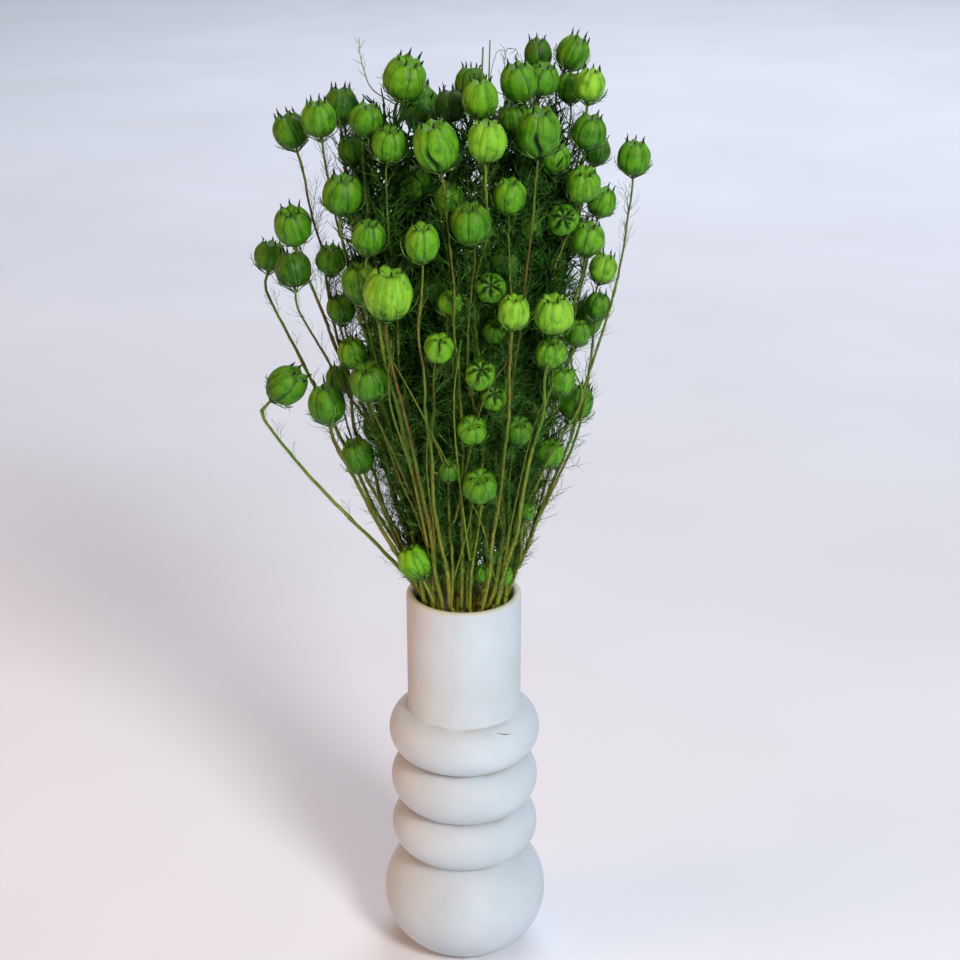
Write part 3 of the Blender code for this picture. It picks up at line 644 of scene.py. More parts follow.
def papery_pod_skin():
    """Capsule wall, dried and dyed: satin parchment, dark in its seams, with broken pale ribs and streaks."""
    material = new_material("dyed_papery_capsule", "#4f8f1d", 0.45, 0.22)
    node = partial(add_node, material)
    build = node("Attribute", attribute_name="build").outputs["Vector"]
    lobe, height, tone = node("SeparateXYZ", {0: build}).outputs
    grain = node("Attribute", attribute_name="grain").outputs["Vector"]
    place = node("TexCoord").outputs["Object"]
    # The pod's tone is partly its dye and partly painted light: lit pods are painted paler, shaded ones
    # darker.
    dye_and_light = node("ValToRGB", {0: tone},
               ((0.0, "#1b3d08"), (0.3, "#376f0e"), (0.6, "#549614"), (0.85, "#70b023"), (1.0, "#8bc538")))
    # The dye has taken in patches a few millimetres wide, and yellowed where it is thin.
    patches = node("TexNoise", {"Vector": place, "Scale": 1 / DYE_PATCH, "Detail": 4.0})
    patch = node("ValToRGB", {0: patches}, ((0.3, "#92a583"), (0.52, "#ffffff"), (0.72, "#fff2a0")))
    colour = node("Mix", {0: 0.75, 6: dye_and_light, 7: patch}, **TINT)
    # Streaks run from base to crown, several to a lobe.
    drawn = node("Mapping", {"Vector": grain, "Scale": (1.0, 1.0, 0.14)})
    streaks = node("TexNoise", {"Vector": drawn, "Scale": STREAKS, "Detail": 5.0})
    streak = node("ValToRGB", {0: streaks}, ((0.36, "#739c50"), (0.5, "#eaf4da"), (0.66, "#ffffc8")))
    colour = node("Mix", {0: 0.62, 6: colour, 7: streak}, **TINT)
    # Each lobe is painted darker towards its foot and its seams: painted shade under the pod and in its
    # grooves, fainter on the pods painted pale.
    faint = node("MapRange", {"Value": tone, 1: 0.6, 2: 1.0, 3: 1.0, 4: 0.3})
    broken = node("TexNoise", {"Vector": grain, "Scale": BREAKS, "Detail": 3.0})
    ragged = node("Math", {0: broken, 1: 0.4, 2: -0.17}, operation="MULTIPLY_ADD")
    near_seam = node("Math", {0: lobe, 1: ragged}, operation="ADD")
    shade = node("ValToRGB", {0: near_seam}, ((0.0, "#93b874"), (0.16, "#cfe2bb"), (0.5, "#ffffff")))
    colour = node("Mix", {0: faint, 6: colour, 7: shade}, **TINT)
    low = node("MapRange", {"Value": height, 1: -0.2, 2: -1.0})
    colour = node("Mix", {0: low, 6: colour, 7: "#6f9a5c"}, **TINT)
    # A pale rib stands on each side of a seam, and a fainter one up the middle, worn away in places.
    worn = node("ValToRGB", {0: broken}, ((0.45, "#000000"), (0.62, "#9a9a9a")))
    rib = node("ValToRGB", {0: lobe},
               ((0.12, "#000000"), (0.2, "#ffffff"), (0.28, "#000000"), (0.92, "#000000"), (1.0, "#8a8a8a")))
    ribbed = node("Math", {0: rib, 1: worn}, operation="MULTIPLY")
    colour = node("Mix", {0: ribbed, 6: colour, 7: "#a8cf68"}, **OVER)
    # Net veins show as hair-thin dark lines in the worn places.
    net = node("TexVoronoi", {"Vector": place, "Scale": 1 / NET_MESH}, feature="DISTANCE_TO_EDGE")
    vein = node("ValToRGB", {0: net}, ((0.0, "#c0c0c0"), (0.035, "#000000")))
    veined = node("Math", {0: vein, 1: worn}, operation="MULTIPLY")
    colour = node("Mix", {0: veined, 6: colour, 7: "#16300a"}, **OVER)
    # The shoulders are lighter and yellower, and the beaks dark.
    top = node("ValToRGB", {0: height}, ((0.3, "#000000"), (0.8, "#5a5a5a"), (0.97, "#000000")))
    colour = node("Mix", {0: top, 6: colour, 7: "#9aae35"}, **OVER)
    beak = node("MapRange", {"Value": height, 1: 0.88, 2: 1.06, 4: 0.8})
    colour = node("Mix", {0: beak, 6: colour, 7: "#2b4410"}, **OVER)
    # The seam is a thin broken dark line. Towards the crown it is painted wider and darker, as painted shade
    # in the open gaps between the beaks.
    open_top = node("MapRange", {"Value": height, 1: 0.72, 2: 0.88, 4: -0.22})
    opened = node("Math", {0: near_seam, 1: open_top}, operation="ADD")
    line = node("ValToRGB", {0: opened}, ((0.0, "#a8a8a8"), (0.026, "#000000")))
    seam = node("Math", {0: line, 1: faint}, operation="MULTIPLY")
    colour = node("Mix", {0: seam, 6: colour, 7: "#122c08"}, **OVER)
    # Where a seam is torn, its gap is painted near black: painted shade for the inside.
    torn_gap_shade = node("MapRange", {"Value": lobe, 1: -0.02, 2: -0.16, 4: 0.9})
    colour = node("Mix", {0: torn_gap_shade, 6: colour, 7: "#0c1c06"}, **OVER)
    relief = node("Math", {0: streaks, 1: 0.6, 2: rib}, operation="MULTIPLY_ADD")
    bump = node("Bump", {"Height": relief, "Strength": 0.35, "Distance": 0.3 * MM})
    rough = node("MapRange", {"Value": patches, 3: 0.4, 4: 0.62})
    return dressed(material, colour, bump, rough)


def horn_skin():
    """Dried style: green where it leaves the beak and brown-black at its tip."""
    material = new_material("dried_style_horn", "#2c2a10", 0.6, 0.2)
    build = add_node(material, "Attribute", attribute_name="build").outputs["Vector"]
    along = add_node(material, "SeparateXYZ", {0: build})
    stops = ((0.0, "#2c4a12"), (0.22, "#1d250a"), (0.6, "#131206"))
    return dressed(material, add_node(material, "ValToRGB", {0: along}, stops))


def stalk_skin(name, green, brown, share):
    """Dried ribbed stalk: dye over straw, fine ribs, and brown stretches, more of them for a larger share."""
    material = new_material(name, green, 0.55, 0.25)
    node = partial(add_node, material)
    place = node("TexCoord").outputs["Object"]
    drawn = node("Mapping", {"Vector": place, "Scale": (1.0, 1.0, 0.22)})
    patches = node("TexNoise", {"Vector": drawn, "Scale": 1 / STALK_PATCH, "Detail": 3.0})
    colour = node("ValToRGB", {0: patches}, ((0.47 - share, green), (0.58 - share * 0.3, brown)))
    # The dye is weakest near the cut ends, where the straw yellow shows.
    parts = node("SeparateXYZ", {0: place})
    low = node("MapRange", {"Value": parts.outputs["Z"], 1: 220 * MM, 2: 320 * MM, 3: 0.5, 4: 0.0})
    colour = node("Mix", {0: low, 6: colour, 7: "#97972c"}, **OVER)
    ribs = node("TexNoise", {"Vector": drawn, "Scale": 1 / STALK_RIB, "Detail": 2.0})
    tint = node("ValToRGB", {0: ribs}, ((0.35, "#a19c7e"), (0.6, "#ffffff")))
    colour = node("Mix", {0: 0.7, 6: colour, 7: tint}, **TINT)
    bump = node("Bump", {"Height": ribs, "Strength": 0.4, "Distance": 0.15 * MM})
    return dressed(material, colour, bump)


def mottled_skin(name, dark, light):
    """Dried thread leaf or bare clay: matt, and darker and lighter from one spot to the next."""
    material = new_material(name, dark, 0.75, 0.12)
    place = add_node(material, "TexCoord").outputs["Object"]
    noise = add_node(material, "TexNoise", {"Vector": place, "Scale": 1 / THREAD_PATCH, "Detail": 2.0})
    return dressed(material, add_node(material, "ValToRGB", {0: noise}, ((0.4, dark), (0.64, light))))


def satin_glaze():
    """White satin glaze on slip-cast ceramic: soft gloss, a faint ripple, and warmer where it is thin."""
    material = new_material("satin_white_glaze", "#cdd2d8", 0.55, 0.35)
    node = partial(add_node, material)
    place = node("TexCoord").outputs["Object"]
    cloud = node("TexNoise", {"Vector": place, "Scale": 1 / GLAZE_CLOUD, "Detail": 3.0})
    colour = node("ValToRGB", {0: cloud}, ((0.35, "#b3bdc4"), (0.5, "#b8c2ca"), (0.7, "#bec8d1")))
    # Pin-sized specks of grit, a few to a hand's breadth.
    grit = node("TexVoronoi", {"Vector": place, "Scale": 1 / GRIT_SPACING})
    speck = node("ValToRGB", {0: grit}, ((0.035, "#b0b0b0"), (0.06, "#000000")))
    chosen = node("SeparateXYZ", {0: grit.outputs["Color"]})
    rare = node("Math", {0: chosen, 1: 0.93}, operation="GREATER_THAN")
    fleck = node("Math", {0: speck, 1: rare}, operation="MULTIPLY")
    colour = node("Mix", {0: fleck, 6: colour, 7: "#a08c5a"}, **OVER)
    # The creases between the rings are darker and browner, in patches, more on one side than on the other.
    parts = node("SeparateXYZ", {0: place})
    flat = node("Mapping", {"Vector": place, "Scale": (1.0, 1.0, 0.0)})
    radius = node("VectorMath", {0: flat}, operation="LENGTH").outputs["Value"]
    crease = node("MapRange", {"Value": radius, 1: CREASE_RADIUS, 2: CREASE_RADIUS + 4 * MM, 3: 0.7, 4: 0.0})
    below = node("Math", {0: parts.outputs["Z"], 1: SWELLINGS[-1][1]}, operation="LESS_THAN")
    dirt = node("TexNoise", {"Vector": place, "Scale": 1 / DIRT_PATCH, "Detail": 4.0})
    patchy = node("ValToRGB", {0: dirt}, ((0.45, "#000000"), (0.62, "#ffffff")))
    crease_tint = node("Math", {0: crease, 1: below}, operation="MULTIPLY")
    crease_tint = node("Math", {0: crease_tint, 1: patchy}, operation="MULTIPLY")
    colour = node("Mix", {0: crease_tint, 6: colour, 7: "#9c8270"}, **OVER)
    smudge = node("ValToRGB", {0: dirt}, ((0.7, "#000000"), (0.78, "#484848")))
    colour = node("Mix", {0: smudge, 6: colour, 7: "#a88f80"}, **OVER)
    # The glaze runs thin over the lip, and the clay's yellow shows.
    thin = node("MapRange", {"Value": parts.outputs["Z"], 1: VASE_HEIGHT - 2 * MM, 2: VASE_HEIGHT, 4: 0.5})
    colour = node("Mix", {0: thin, 6: colour, 7: "#cfc490"}, **OVER)
    ripple = node("TexNoise", {"Vector": place, "Scale": 1 / GLAZE_RIPPLE, "Detail": 2.0})
    bump = node("Bump", {"Height": ripple, "Strength": 0.12, "Distance": 0.4 * MM})
    return dressed(material, colour, bump)


def pale_board():
    """Painted board that the vase stands on: matt and nearly white."""
    material = new_material("pale_matt_board", "#d6d6dc", 0.85, 0.15)
    place = add_node(material, "TexCoord").outputs["Object"]
    cloud = add_node(material, "TexNoise", {"Vector": place, "Scale": 1 / BOARD_CLOUD, "Detail": 2.0})
    colour = add_node(material, "ValToRGB", {0: cloud}, ((0.3, "#dfe1e8"), (0.7, "#e5e8f0")))
    return dressed(material, colour)


def section_curve(sides):
    """A small closed polygon that strands are swept with."""
    name = f"section_{sides}"
    if name in bpy.data.objects:
        return bpy.data.objects[name]
    curve = bpy.data.curves.new(name, "CURVE")
    spline = curve.splines.new("POLY")
    spline.points.add(sides - 1)
    for k, point in enumerate(spline.points):
        turn = math.tau * k / sides
        point.co = (math.cos(turn), math.sin(turn), 0, 1)
    spline.use_cyclic_u = True
    section = bpy.data.objects.new(name, curve)
    bpy.context.scene.collection.objects.link(section)
    return section


def swept(name, strands, sides, materials):
    """One mesh of closed tapering tubes. A strand is its points, its radii there and its skin's number."""
    curve = bpy.data.curves.new(name, "CURVE")
    curve.dimensions = "3D"
    curve.bevel_mode = "OBJECT"
    curve.bevel_object = section_curve(sides)
    curve.use_fill_caps = True
    for material in materials:
        curve.materials.append(material)
    for points, radii, finish in strands:
        spline = curve.splines.new("POLY")
        spline.points.add(len(points) - 1)
        spline.points.foreach_set("co", [c for p in points for c in (*p, 1)])
        spline.points.foreach_set("radius", radii)
        spline.material_index = finish
        spline.use_smooth = True
    obj = bpy.data.objects.new(name, curve)
    bpy.context.scene.collection.objects.link(obj)
    alone(obj)
    bpy.ops.object.convert(target="MESH")
    in_edit_mode(obj, face_outwards)
    return obj


def set_pattern(obj, name, values):
    """Stores pattern values that the materials read: one vector for each point of the mesh."""
    attribute = obj.data.attributes.get(name) or obj.data.attributes.new(name, "FLOAT_VECTOR", "POINT")
    attribute.data.foreach_set("vector", np.asarray(values, np.float32).ravel())


def blank_patterns(obj):
    """Stores empty patterns, so that all that is joined in one piece has the same ones."""
    for name in ("build", "grain"):
        set_pattern(obj, name, [(0.0, 0.0, 0.0)] * len(obj.data.vertices))


def smooth_path(points, spacing):
    """Points close together on a smooth curve through the given ones."""
    padded = [points[0] * 2 - points[1], *points, points[-1] * 2 - points[-2]]
    path = []
    for a, b, c, d in zip(padded, padded[1:], padded[2:], padded[3:]):
        steps = max(1, round((c - b).length / spacing))
        square, cube = 2 * a - 5 * b + 4 * c - d, 3 * b - a - 3 * c + d
        for k in range(steps):
            t = k / steps
            path.append(0.5 * (2 * b + (c - a) * t + square * t**2 + cube * t**3))
    path.append(points[-1])
    return path


def pod_profile(share):
    """A pod's outline from the middle of its base, 0, to the middle of its crown, 1: radius, height."""
    if share <= CROWN_FROM:
        latitude = -math.pi / 2 + (math.pi / 2 + CROWN_LATITUDE) * share / CROWN_FROM
        return max(0.0, math.cos(latitude)) ** FULLNESS, math.sin(latitude)
    crown = (share - CROWN_FROM) / (1 - CROWN_FROM)
    return tuple(np.interp(crown, [c[0] for c in CROWN], [c[k] for c in CROWN]) for k in (1, 2))


def shape_lobes(obj, carpels, tall, depth, gape, gape_at, gaping, chance):
    """Turns a plain sphere into an inflated capsule: uneven lobes, seams between them and a crown of beaks.

    It stores what the skin reads: build is how far a point is from a seam, 0 to 1, its height and the pod's
    tone, partly dye and partly painted light, and grain is its turn round the pod and its height.
    """
    swell = [chance.uniform(-0.05, 0.05) for _ in range(carpels)]
    dent = [depth * chance.uniform(0.6, 1.5) for _ in range(carpels)]
    rise = [chance.uniform(0.7, 1.25) for _ in range(carpels)]
    start, spread = chance.uniform(0, math.tau), chance.uniform(0.03, 0.08)
    twist = chance.uniform(-0.12, 0.12)
    build, grain = [], []
    for vertex in obj.data.vertices:
        share = 0.5 + math.asin(max(-1.0, min(1.0, vertex.co.z))) / math.pi
        turn = math.atan2(vertex.co.y, vertex.co.x) % math.tau
        place = turn / math.tau * carpels
        phase, here, seam = place % 1, int(place) % carpels, int(round(place)) % carpels
        lobe = 1 - abs(2 * phase - 1)
        radius, height = pod_profile(share)
        groove = (0.035 + 0.1 * max(0.0, height) ** 2) * dent[seam]
        slit = gape * max(0.0, 1 - ((height - gape_at) / 0.6) ** 2) if seam % carpels < gaping else 0.0
        groove += slit * max(0.0, 1 - lobe * 2.2)
        out = (1 - groove * (1 - math.sin(math.pi * phase) ** 0.4)) * (1 + swell[here] * lobe)
        crown = (share - CROWN_FROM) / (1 - CROWN_FROM)
        window = max(0.0, 1 - abs(crown - BEAK_AT) / 0.3)
        height += window * BEAK_RISE * rise[here] * lobe**1.5
        height -= 0.1 * depth * (1 - lobe) ** 1.6 * max(0.0, 1 - abs(crown - 0.2) / 0.8)
        out *= 1 + 0.015 * math.sin(7 * turn + 5 * height)
        bent = turn + spread * math.sin(2 * turn + start) + twist * height - 1.1 * slit * (height - gape_at)
        vertex.co = (radius * out * math.cos(bent), radius * out * math.sin(bent), height * tall)
        build.append((lobe * (1 - max(0.0, crown) ** 2) - slit * 0.5, height, 0.0))
        grain.append((math.cos(turn), math.sin(turn), height))
    set_pattern(obj, "build", build)
    set_pattern(obj, "grain", grain)


def horn_strand(turn, tall, chance):
    """The dried style on one beak: it leans in or out, then curls over."""
    bend, curl = chance.uniform(-0.3, 0.6), chance.uniform(0.1, 0.75)
    out = Vector((math.cos(turn), math.sin(turn), 0))
    aside = Vector((-out.y, out.x, 0)) * chance.uniform(-0.9, 0.9)
    point = out * HORN_FOOT[0] + Vector((0, 0, HORN_FOOT[1] * tall))
    step = chance.uniform(0.05, 0.09)
    points, radii = [], []
    for k in range(HORN_STEPS + 1):
        share = k / HORN_STEPS
        points.append(point.copy())
        radii.append(0.072 * (1 - share) + 0.012)
        point += (Vector((0, 0, 1)) * math.cos(bend) + (out + aside * share) * math.sin(bend)) * step
        bend += curl * share
    return points, radii, 0


def bract_strands(turn, chance):
    """One thread bract and its side threads, which cup the lower half of the pod."""
    out = Vector((math.cos(turn), math.sin(turn), 0))
    aside = Vector((-out.y, out.x, 0))
    reach = chance.uniform(0.6, 1.05)
    drift = chance.uniform(-0.9, 0.9)
    loose = chance.uniform(1.05, 1.15)
    points = [Vector((0, 0, -1.3)) + out * 0.06]
    for k in range(1, BRACT_STEPS + 1):
        share = k / BRACT_STEPS
        latitude = math.radians(-76 + 84 * share * reach)
        around = out * math.cos(drift * share) + aside * math.sin(drift * share)
        grown = loose + 0.1 * share * share
        points.append(around * math.cos(latitude) * grown + Vector((0, 0, math.sin(latitude) * grown)))
    strands = [(points, [BRACT_RADIUS * (1 - 0.6 * k / BRACT_STEPS) for k in range(BRACT_STEPS + 1)], 1)]
    for start, side in ((2, 1), (3, -1), (4, 1)):
        root = points[start]
        way = (points[start] - points[start - 1]).normalized()
        length = chance.uniform(0.25, 0.55)
        middle = root + (way * 0.8 + aside * side * 0.35) * length * 0.5
        tip = middle + (way * 0.5 + aside * side * 0.7 + root * chance.uniform(-0.1, 0.3)) * length * 0.5
        strands.append(([root, middle, tip], SIDE_BRACT_RADII, 1))
    return strands


def make_pod_kind(name, skins):
    """Models one kind of pod at unit radius, base down, with its horns and its bracts."""
    carpels, tall, depth, gape, gape_at, gaping = POD_KINDS[name]
    chance = random.Random(name)
    bpy.ops.object.select_all(action="DESELECT")
    bpy.ops.mesh.primitive_uv_sphere_add(segments=carpels * LOBE_STEPS, ring_count=POD_RING_COUNT, radius=1)
    pod = bpy.context.active_object
    pod.name = name
    shape_lobes(pod, carpels, tall, depth, gape, gape_at, gaping, chance)
    bpy.ops.object.shade_smooth()
    pod.data.materials.append(skins["pod"])
    strands = [horn_strand(math.tau * (k + 0.5) / carpels, tall, chance) for k in range(carpels)]
    for k in range(BRACTS):
        strands += bract_strands(math.tau * (k + chance.uniform(-0.4, 0.4)) / BRACTS, chance)
    threads = swept(name + "_threads", strands, THREAD_SIDES, [skins["horn"], skins["bract"]])
    blank_patterns(threads)
    rises = [(v.co.z / tall - HORN_FOOT[1]) / HORN_RISE for v in threads.data.vertices]
    set_pattern(threads, "build", [(rise, 0.0, 0.0) for rise in rises])
    alone(pod)
    threads.select_set(True)
    bpy.ops.object.join()
    return pod


def curl_strand(root, way, out, length, width, chance):
    """A short thread in two or three steps, each turned a little from the one before."""
    steps = 2 if width > THREAD_RADIUS else chance.choice((2, 3))
    points, bend = [root], chance.uniform(0.5, 1.0)
    turn = chance.uniform(-0.75, 0.2)
    for _ in range(steps):
        points.append(points[-1] + (way * math.cos(bend) + out * math.sin(bend)) * length / steps)
        bend += turn
    return points, [width * (1 - 0.6 * k / steps) for k in range(steps + 1)]


def make_leaf_kind(name, skin, width, chance):
    """Models one feathery leaf, its root at the origin: an arched midrib with threads all round it."""
    arch, sway = chance.uniform(-0.35, 0.5), chance.uniform(-0.25, 0.25)

    def on_rib(share):
        return Vector((arch * share**2, sway * math.sin(3 * share), share)) * LEAF_LENGTH

    shares = [k / LEAF_RIB_STEPS for k in range(LEAF_RIB_STEPS + 1)]
    strands = [([on_rib(share) for share in shares], [width * (1.2 - 0.7 * share) for share in shares], 0)]
    for k in range(SIDE_THREADS):
        share = 0.12 + 0.76 * k / SIDE_THREADS
        turn = k * GOLDEN_ANGLE + chance.uniform(-0.5, 0.5)
        out = Vector((math.cos(turn), math.sin(turn), 0))
        length = LEAF_LENGTH * (0.62 - 0.36 * share) * chance.uniform(0.8, 1.3)
        way = (on_rib(share + 0.1) - on_rib(share)).normalized()
        strands.append((*curl_strand(on_rib(share), way, out, length, width, chance), 0))
    leaf = swept(name, strands, THREAD_SIDES, [skin])
    blank_patterns(leaf)
    return leaf


def placed_copy(kind, matrix, tone=None, shift=0.0):
    """A copy of a modelled kind with its own mesh, its place in that mesh and its own tone and streaks."""
    copy = bpy.data.objects.new(kind.name, kind.data.copy())
    copy.data.transform(matrix)
    if tone is not None:
        for name, added in (("build", tone), ("grain", shift)):
            values = np.zeros(len(copy.data.vertices) * 3, np.float32)
            copy.data.attributes[name].data.foreach_get("vector", values)
            values[2::3] += added
            copy.data.attributes[name].data.foreach_set("vector", values)
    bpy.context.scene.collection.objects.link(copy)
    return copy


def pod_copy(index, pod, pod_kinds):
    """One pod of the bunch, a little uneven. Where the table gives no tone, it is painted paler towards the
    front, as painted light.
    """
    chance = random.Random(POD_SEED + index)
    kind = CHOSEN_KINDS.get(index) or PLAIN_KINDS[index % len(PLAIN_KINDS)]
    nearness = (PAINTED_LIGHT_FROM - pod.middle[1]) / PAINTED_LIGHT_SPAN
    tone = min(0.8, max(0.3, 0.5 + 0.25 * nearness + chance.uniform(-0.12, 0.12)))
    tone = DYE_AND_LIGHT_TONES.get(index, tone)
    turned = Vector(pod.axis).to_track_quat("Z", "Y").to_matrix().to_4x4()
    spin = pod.spin
    if index in FACING:
        front = turned.to_3x3().inverted() @ Vector((0, -1, 0))
        spin = math.atan2(front.y, front.x) + math.radians(FACING[index])
    across = [pod.radius * chance.uniform(0.94, 1.03) for _ in range(2)]
    uneven = Matrix.Diagonal((*across, pod.radius * chance.uniform(0.96, 1.05), 1))
    matrix = Matrix.Translation(Vector(pod.middle)) @ turned @ Matrix.Rotation(spin, 4, "Z") @ uneven
    return placed_copy(pod_kinds[kind], matrix, tone, 10.0 * index)


def stalk_strand(index, stalk, line):
    """One run of stalk: a line that kinks a little at its leaf joints, and swells there."""
    chance = random.Random(STALK_SEED + index)
    kinked = [line[0]]
    for point in line[1:-2]:
        kink = [chance.uniform(-STALK_KINK, STALK_KINK) for _ in range(2)]
        kinked.append(point + Vector((*kink, 0)) * MM)
    path = smooth_path(kinked + line[-2:], STALK_SPACING)
    stout = (FORK_WIDTH if stalk.parent else 1.0) * chance.uniform(0.82, 1.12)
    points, radii = [], []
    for point in path:
        joint = JOINT_SWELL * max(0.0, math.cos(point.z / JOINT_SPACING * math.tau + index)) ** 60
        uneven = Vector((chance.uniform(-1, 1), chance.uniform(-1, 1), 0)) * STALK_ROUGHNESS * MM
        points.append(point + uneven)
        radii.append(stalk_radius(point.z) * stout * (1 + joint + chance.uniform(-0.08, 0.08)))
    return points, radii, chance.randrange(3)


def bunch_depth(point):
    """How far out a point lies: 0 on the bunch's axis, and 1 on the outline of its leafy middle."""
    swell = float(np.interp(point.z, LEAFY_HEIGHTS, LEAFY_SWELL))
    return math.hypot(point.x / LEAFY_HALF_WIDTH, point.y / LEAFY_HALF_DEPTH) / swell


def leaf_copies(index, line, leaf_kinds):
    """The thread leaves up one run of stalk: coarse and thick inside the bunch, and few and fine outside."""
    chance = random.Random(LEAF_SEED + index)
    path = smooth_path(line, LEAF_STEP)
    copies = []
    for k, (point, after) in enumerate(zip(path, path[1:])):
        depth = bunch_depth(point)
        low, high = point.z < LOW_LEAVES, point.z > HIGH_LEAVES
        front = point.y < -0.6 * math.hypot(point.x, point.y) and depth > 0.4
        inside = depth < (1.15 if low else 0.95 if high else 1.1)
        wanted = 1.0 if inside else 0.5 if low and front else 0.2
        if chance.random() > wanted or point.z < FIRST_LEAVES:
            continue
        # Deep in the bunch a leaf takes the darkest skin, as painted shade; at the front and outside it
        # mostly takes the palest, partly as painted light.
        deep = depth < 0.9 and not front and not high
        sort = "deep" if deep else "dark" if inside and chance.random() < 0.7 else "light"
        along = (after - point).normalized()
        turn = Matrix.Rotation(k * GOLDEN_ANGLE + index, 3, along)
        inward = Vector((-point.x, -point.y, 0)) / INWARD_AT
        out = (turn @ along.orthogonal().normalized() + inward * (0.2 if front else 0.9)).normalized()
        lift = math.radians(chance.uniform(12, 60 if depth < 1 and not low else 32))
        grow = (along * math.cos(lift) + out * math.sin(lift)).normalized()
        size = chance.uniform(0.7, 1.25) if depth < 0.85 and not high else chance.uniform(0.4, 0.75)
        tip = point + grow * LEAF_LENGTH * size * 1.1
        farthest, highest = (1.5, LIGHT_TOP) if sort == "light" else (1.12 - 0.28 * size, COARSE_TOP)
        if sort == "deep" and bunch_depth(tip) > 0.78:
            sort = "dark"
        if bunch_depth(tip) > farthest or tip.z > highest:
            size *= 0.55
            sort = "light"
        turned = grow.to_track_quat("Z", "X").to_matrix().to_4x4()
        spin = Matrix.Rotation(chance.uniform(0, math.tau), 4, "Z")
        matrix = Matrix.Translation(point) @ turned @ spin @ Matrix.Scale(size, 4)
        copies.append(placed_copy(chance.choice(leaf_kinds[sort]), matrix))
    return copies


def twig_strands(lines):
    """The bare tips and twigs, each rooted on the nearest stalk: the number of that stalk and its strand."""
    found = []
    chance = random.Random(TWIG_SEED)
    for width, finish, feathered, *places in TWIGS:
        points = [Vector(front_pod(column, row, 1, front, 0, 0).middle) for column, row, front in places]
        spots = [(k, p) for k, line in enumerate(lines) for p in smooth_path(line, STALK_SPACING)]
        low = [(k, p) for k, p in spots if VASE_HEIGHT < p.z < points[0].z]
        stalk, root = min(low, key=lambda spot: (spot[1] - points[0]).length)
        path = smooth_path([root, *points], TWIG_SPACING)
        radii = [width * MM * (1 - 0.5 * k / len(path)) for k in range(len(path))]
        found.append((stalk, (path, radii, finish)))
        if feathered:
            for k in range(len(path) // 2, len(path) - 1):
                out = Vector((chance.choice((-1, 1)), chance.uniform(-0.4, 0.4), 0)).normalized()
                way = (path[k + 1] - path[k]).normalized()
                length = chance.uniform(3, 7) * MM
                found.append((stalk, (*curl_strand(path[k], way, out, length, THREAD_RADIUS, chance), 0)))
    return found


def make_stem(node, members, pods, lines, twigs, kinds, skins):
    """All that grew as one cut stem, joined in one piece that stands for its node."""
    name = f"stem_{node + 1:02d}"
    strands = [stalk_strand(k, stalk, lines[k]) for k, stalk in members]
    strands += [strand for k, strand in twigs if k in dict(members)]
    stalk_skins = [skins[f"stalk_{colour}"] for colour in ("green", "olive", "brown")]
    stem = swept(name + "_plant", strands, STALK_SIDES, stalk_skins)
    blank_patterns(stem)
    copies = []
    for k, stalk in members:
        copies.append(pod_copy(stalk.pod, pods[stalk.pod], kinds["pods"]))
        copies += leaf_copies(k, lines[k], kinds["leaves"])
    alone(stem)
    for copy in copies:
        copy.select_set(True)
    bpy.ops.object.join()
    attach(stem, "root")
    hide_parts(name)


def fine_profile():
    """The vase's section at full fineness, in the measures of the solid."""
    low, high, greatest = BELLY
    outside = [(0, 0), (FOOT_RADIUS - FOOT_BEVEL[0], 0), (FOOT_RADIUS, FOOT_BEVEL[1])]
    outside += belly(SWELL_PARTS + 10)
    for ring in SWELLINGS:
        outside += swelling(*ring, parts=SWELL_PARTS)
    outside.append((NECK_RADIUS, SWELLINGS[-1][1]))
    lip = (NECK_RADIUS - NECK_BORE) / 2
    turns = [math.pi * k / RIM_STEPS for k in range(RIM_STEPS + 1)]
    rim = [(NECK_BORE + lip + lip * math.cos(t), VASE_HEIGHT - lip + lip * math.sin(t)) for t in turns]
    inside = [(NECK_BORE, SWELLINGS[-1][1])]
    for ring in reversed(SWELLINGS):
        inside += hollow(*ring)
    belly_bore = greatest - WALL
    inside += [(belly_bore - 2 * MM, high - 14 * MM), (belly_bore, (low + high) / 2)]
    inside += [(belly_bore - 5 * MM, FLOOR_HEIGHT + 7 * MM), (FLOOR_RADIUS, FLOOR_HEIGHT), (0, FLOOR_HEIGHT)]
    return outside + rim + inside


def ring_point(turn, height):
    """A point on the uppermost ring, from its turn round the vase in degrees and its height."""
    low, high, greatest = SWELLINGS[-1]
    half, depth = (high - low) / 2, greatest - CREASE_RADIUS
    arc = (half**2 + depth**2) / (2 * depth)
    radius = greatest - arc + math.sqrt(arc**2 - (height - (low + high) / 2) ** 2)
    return Vector((radius * math.cos(math.radians(turn)), radius * math.sin(math.radians(turn)), height))


def make_vase():
    """Spins the section round, and smooths it."""
    points = [(radius, 0, height) for radius, height in fine_profile()]
    mesh = bpy.data.meshes.new("glazed_vase")
    mesh.from_pydata(points, [(k, k + 1) for k in range(len(points) - 1)], [])
    vase = bpy.data.objects.new("glazed_vase", mesh)
    bpy.context.scene.collection.objects.link(vase)

    def turn_round():
        bpy.ops.mesh.spin(steps=VASE_STEPS, angle=math.tau, center=(0, 0, 0), axis=(0, 0, 1))

    def all_of_it():
        bpy.ops.mesh.select_all(action="SELECT")

    in_edit_mode(vase, turn_round, all_of_it, merge_close, face_outwards)
    bpy.ops.object.shade_smooth()
    vase.data.materials.append(satin_glaze())
    strand = ([ring_point(*place) for place in CHIP], CHIP_RADII, 0)
    chip = swept("chip", [strand], STALK_SIDES, [mottled_skin("bare_clay_chip", "#3c3a22", "#5a5636")])
    alone(vase)
    chip.select_set(True)
    bpy.ops.object.join()
    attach(vase, "root")
    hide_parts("vase")


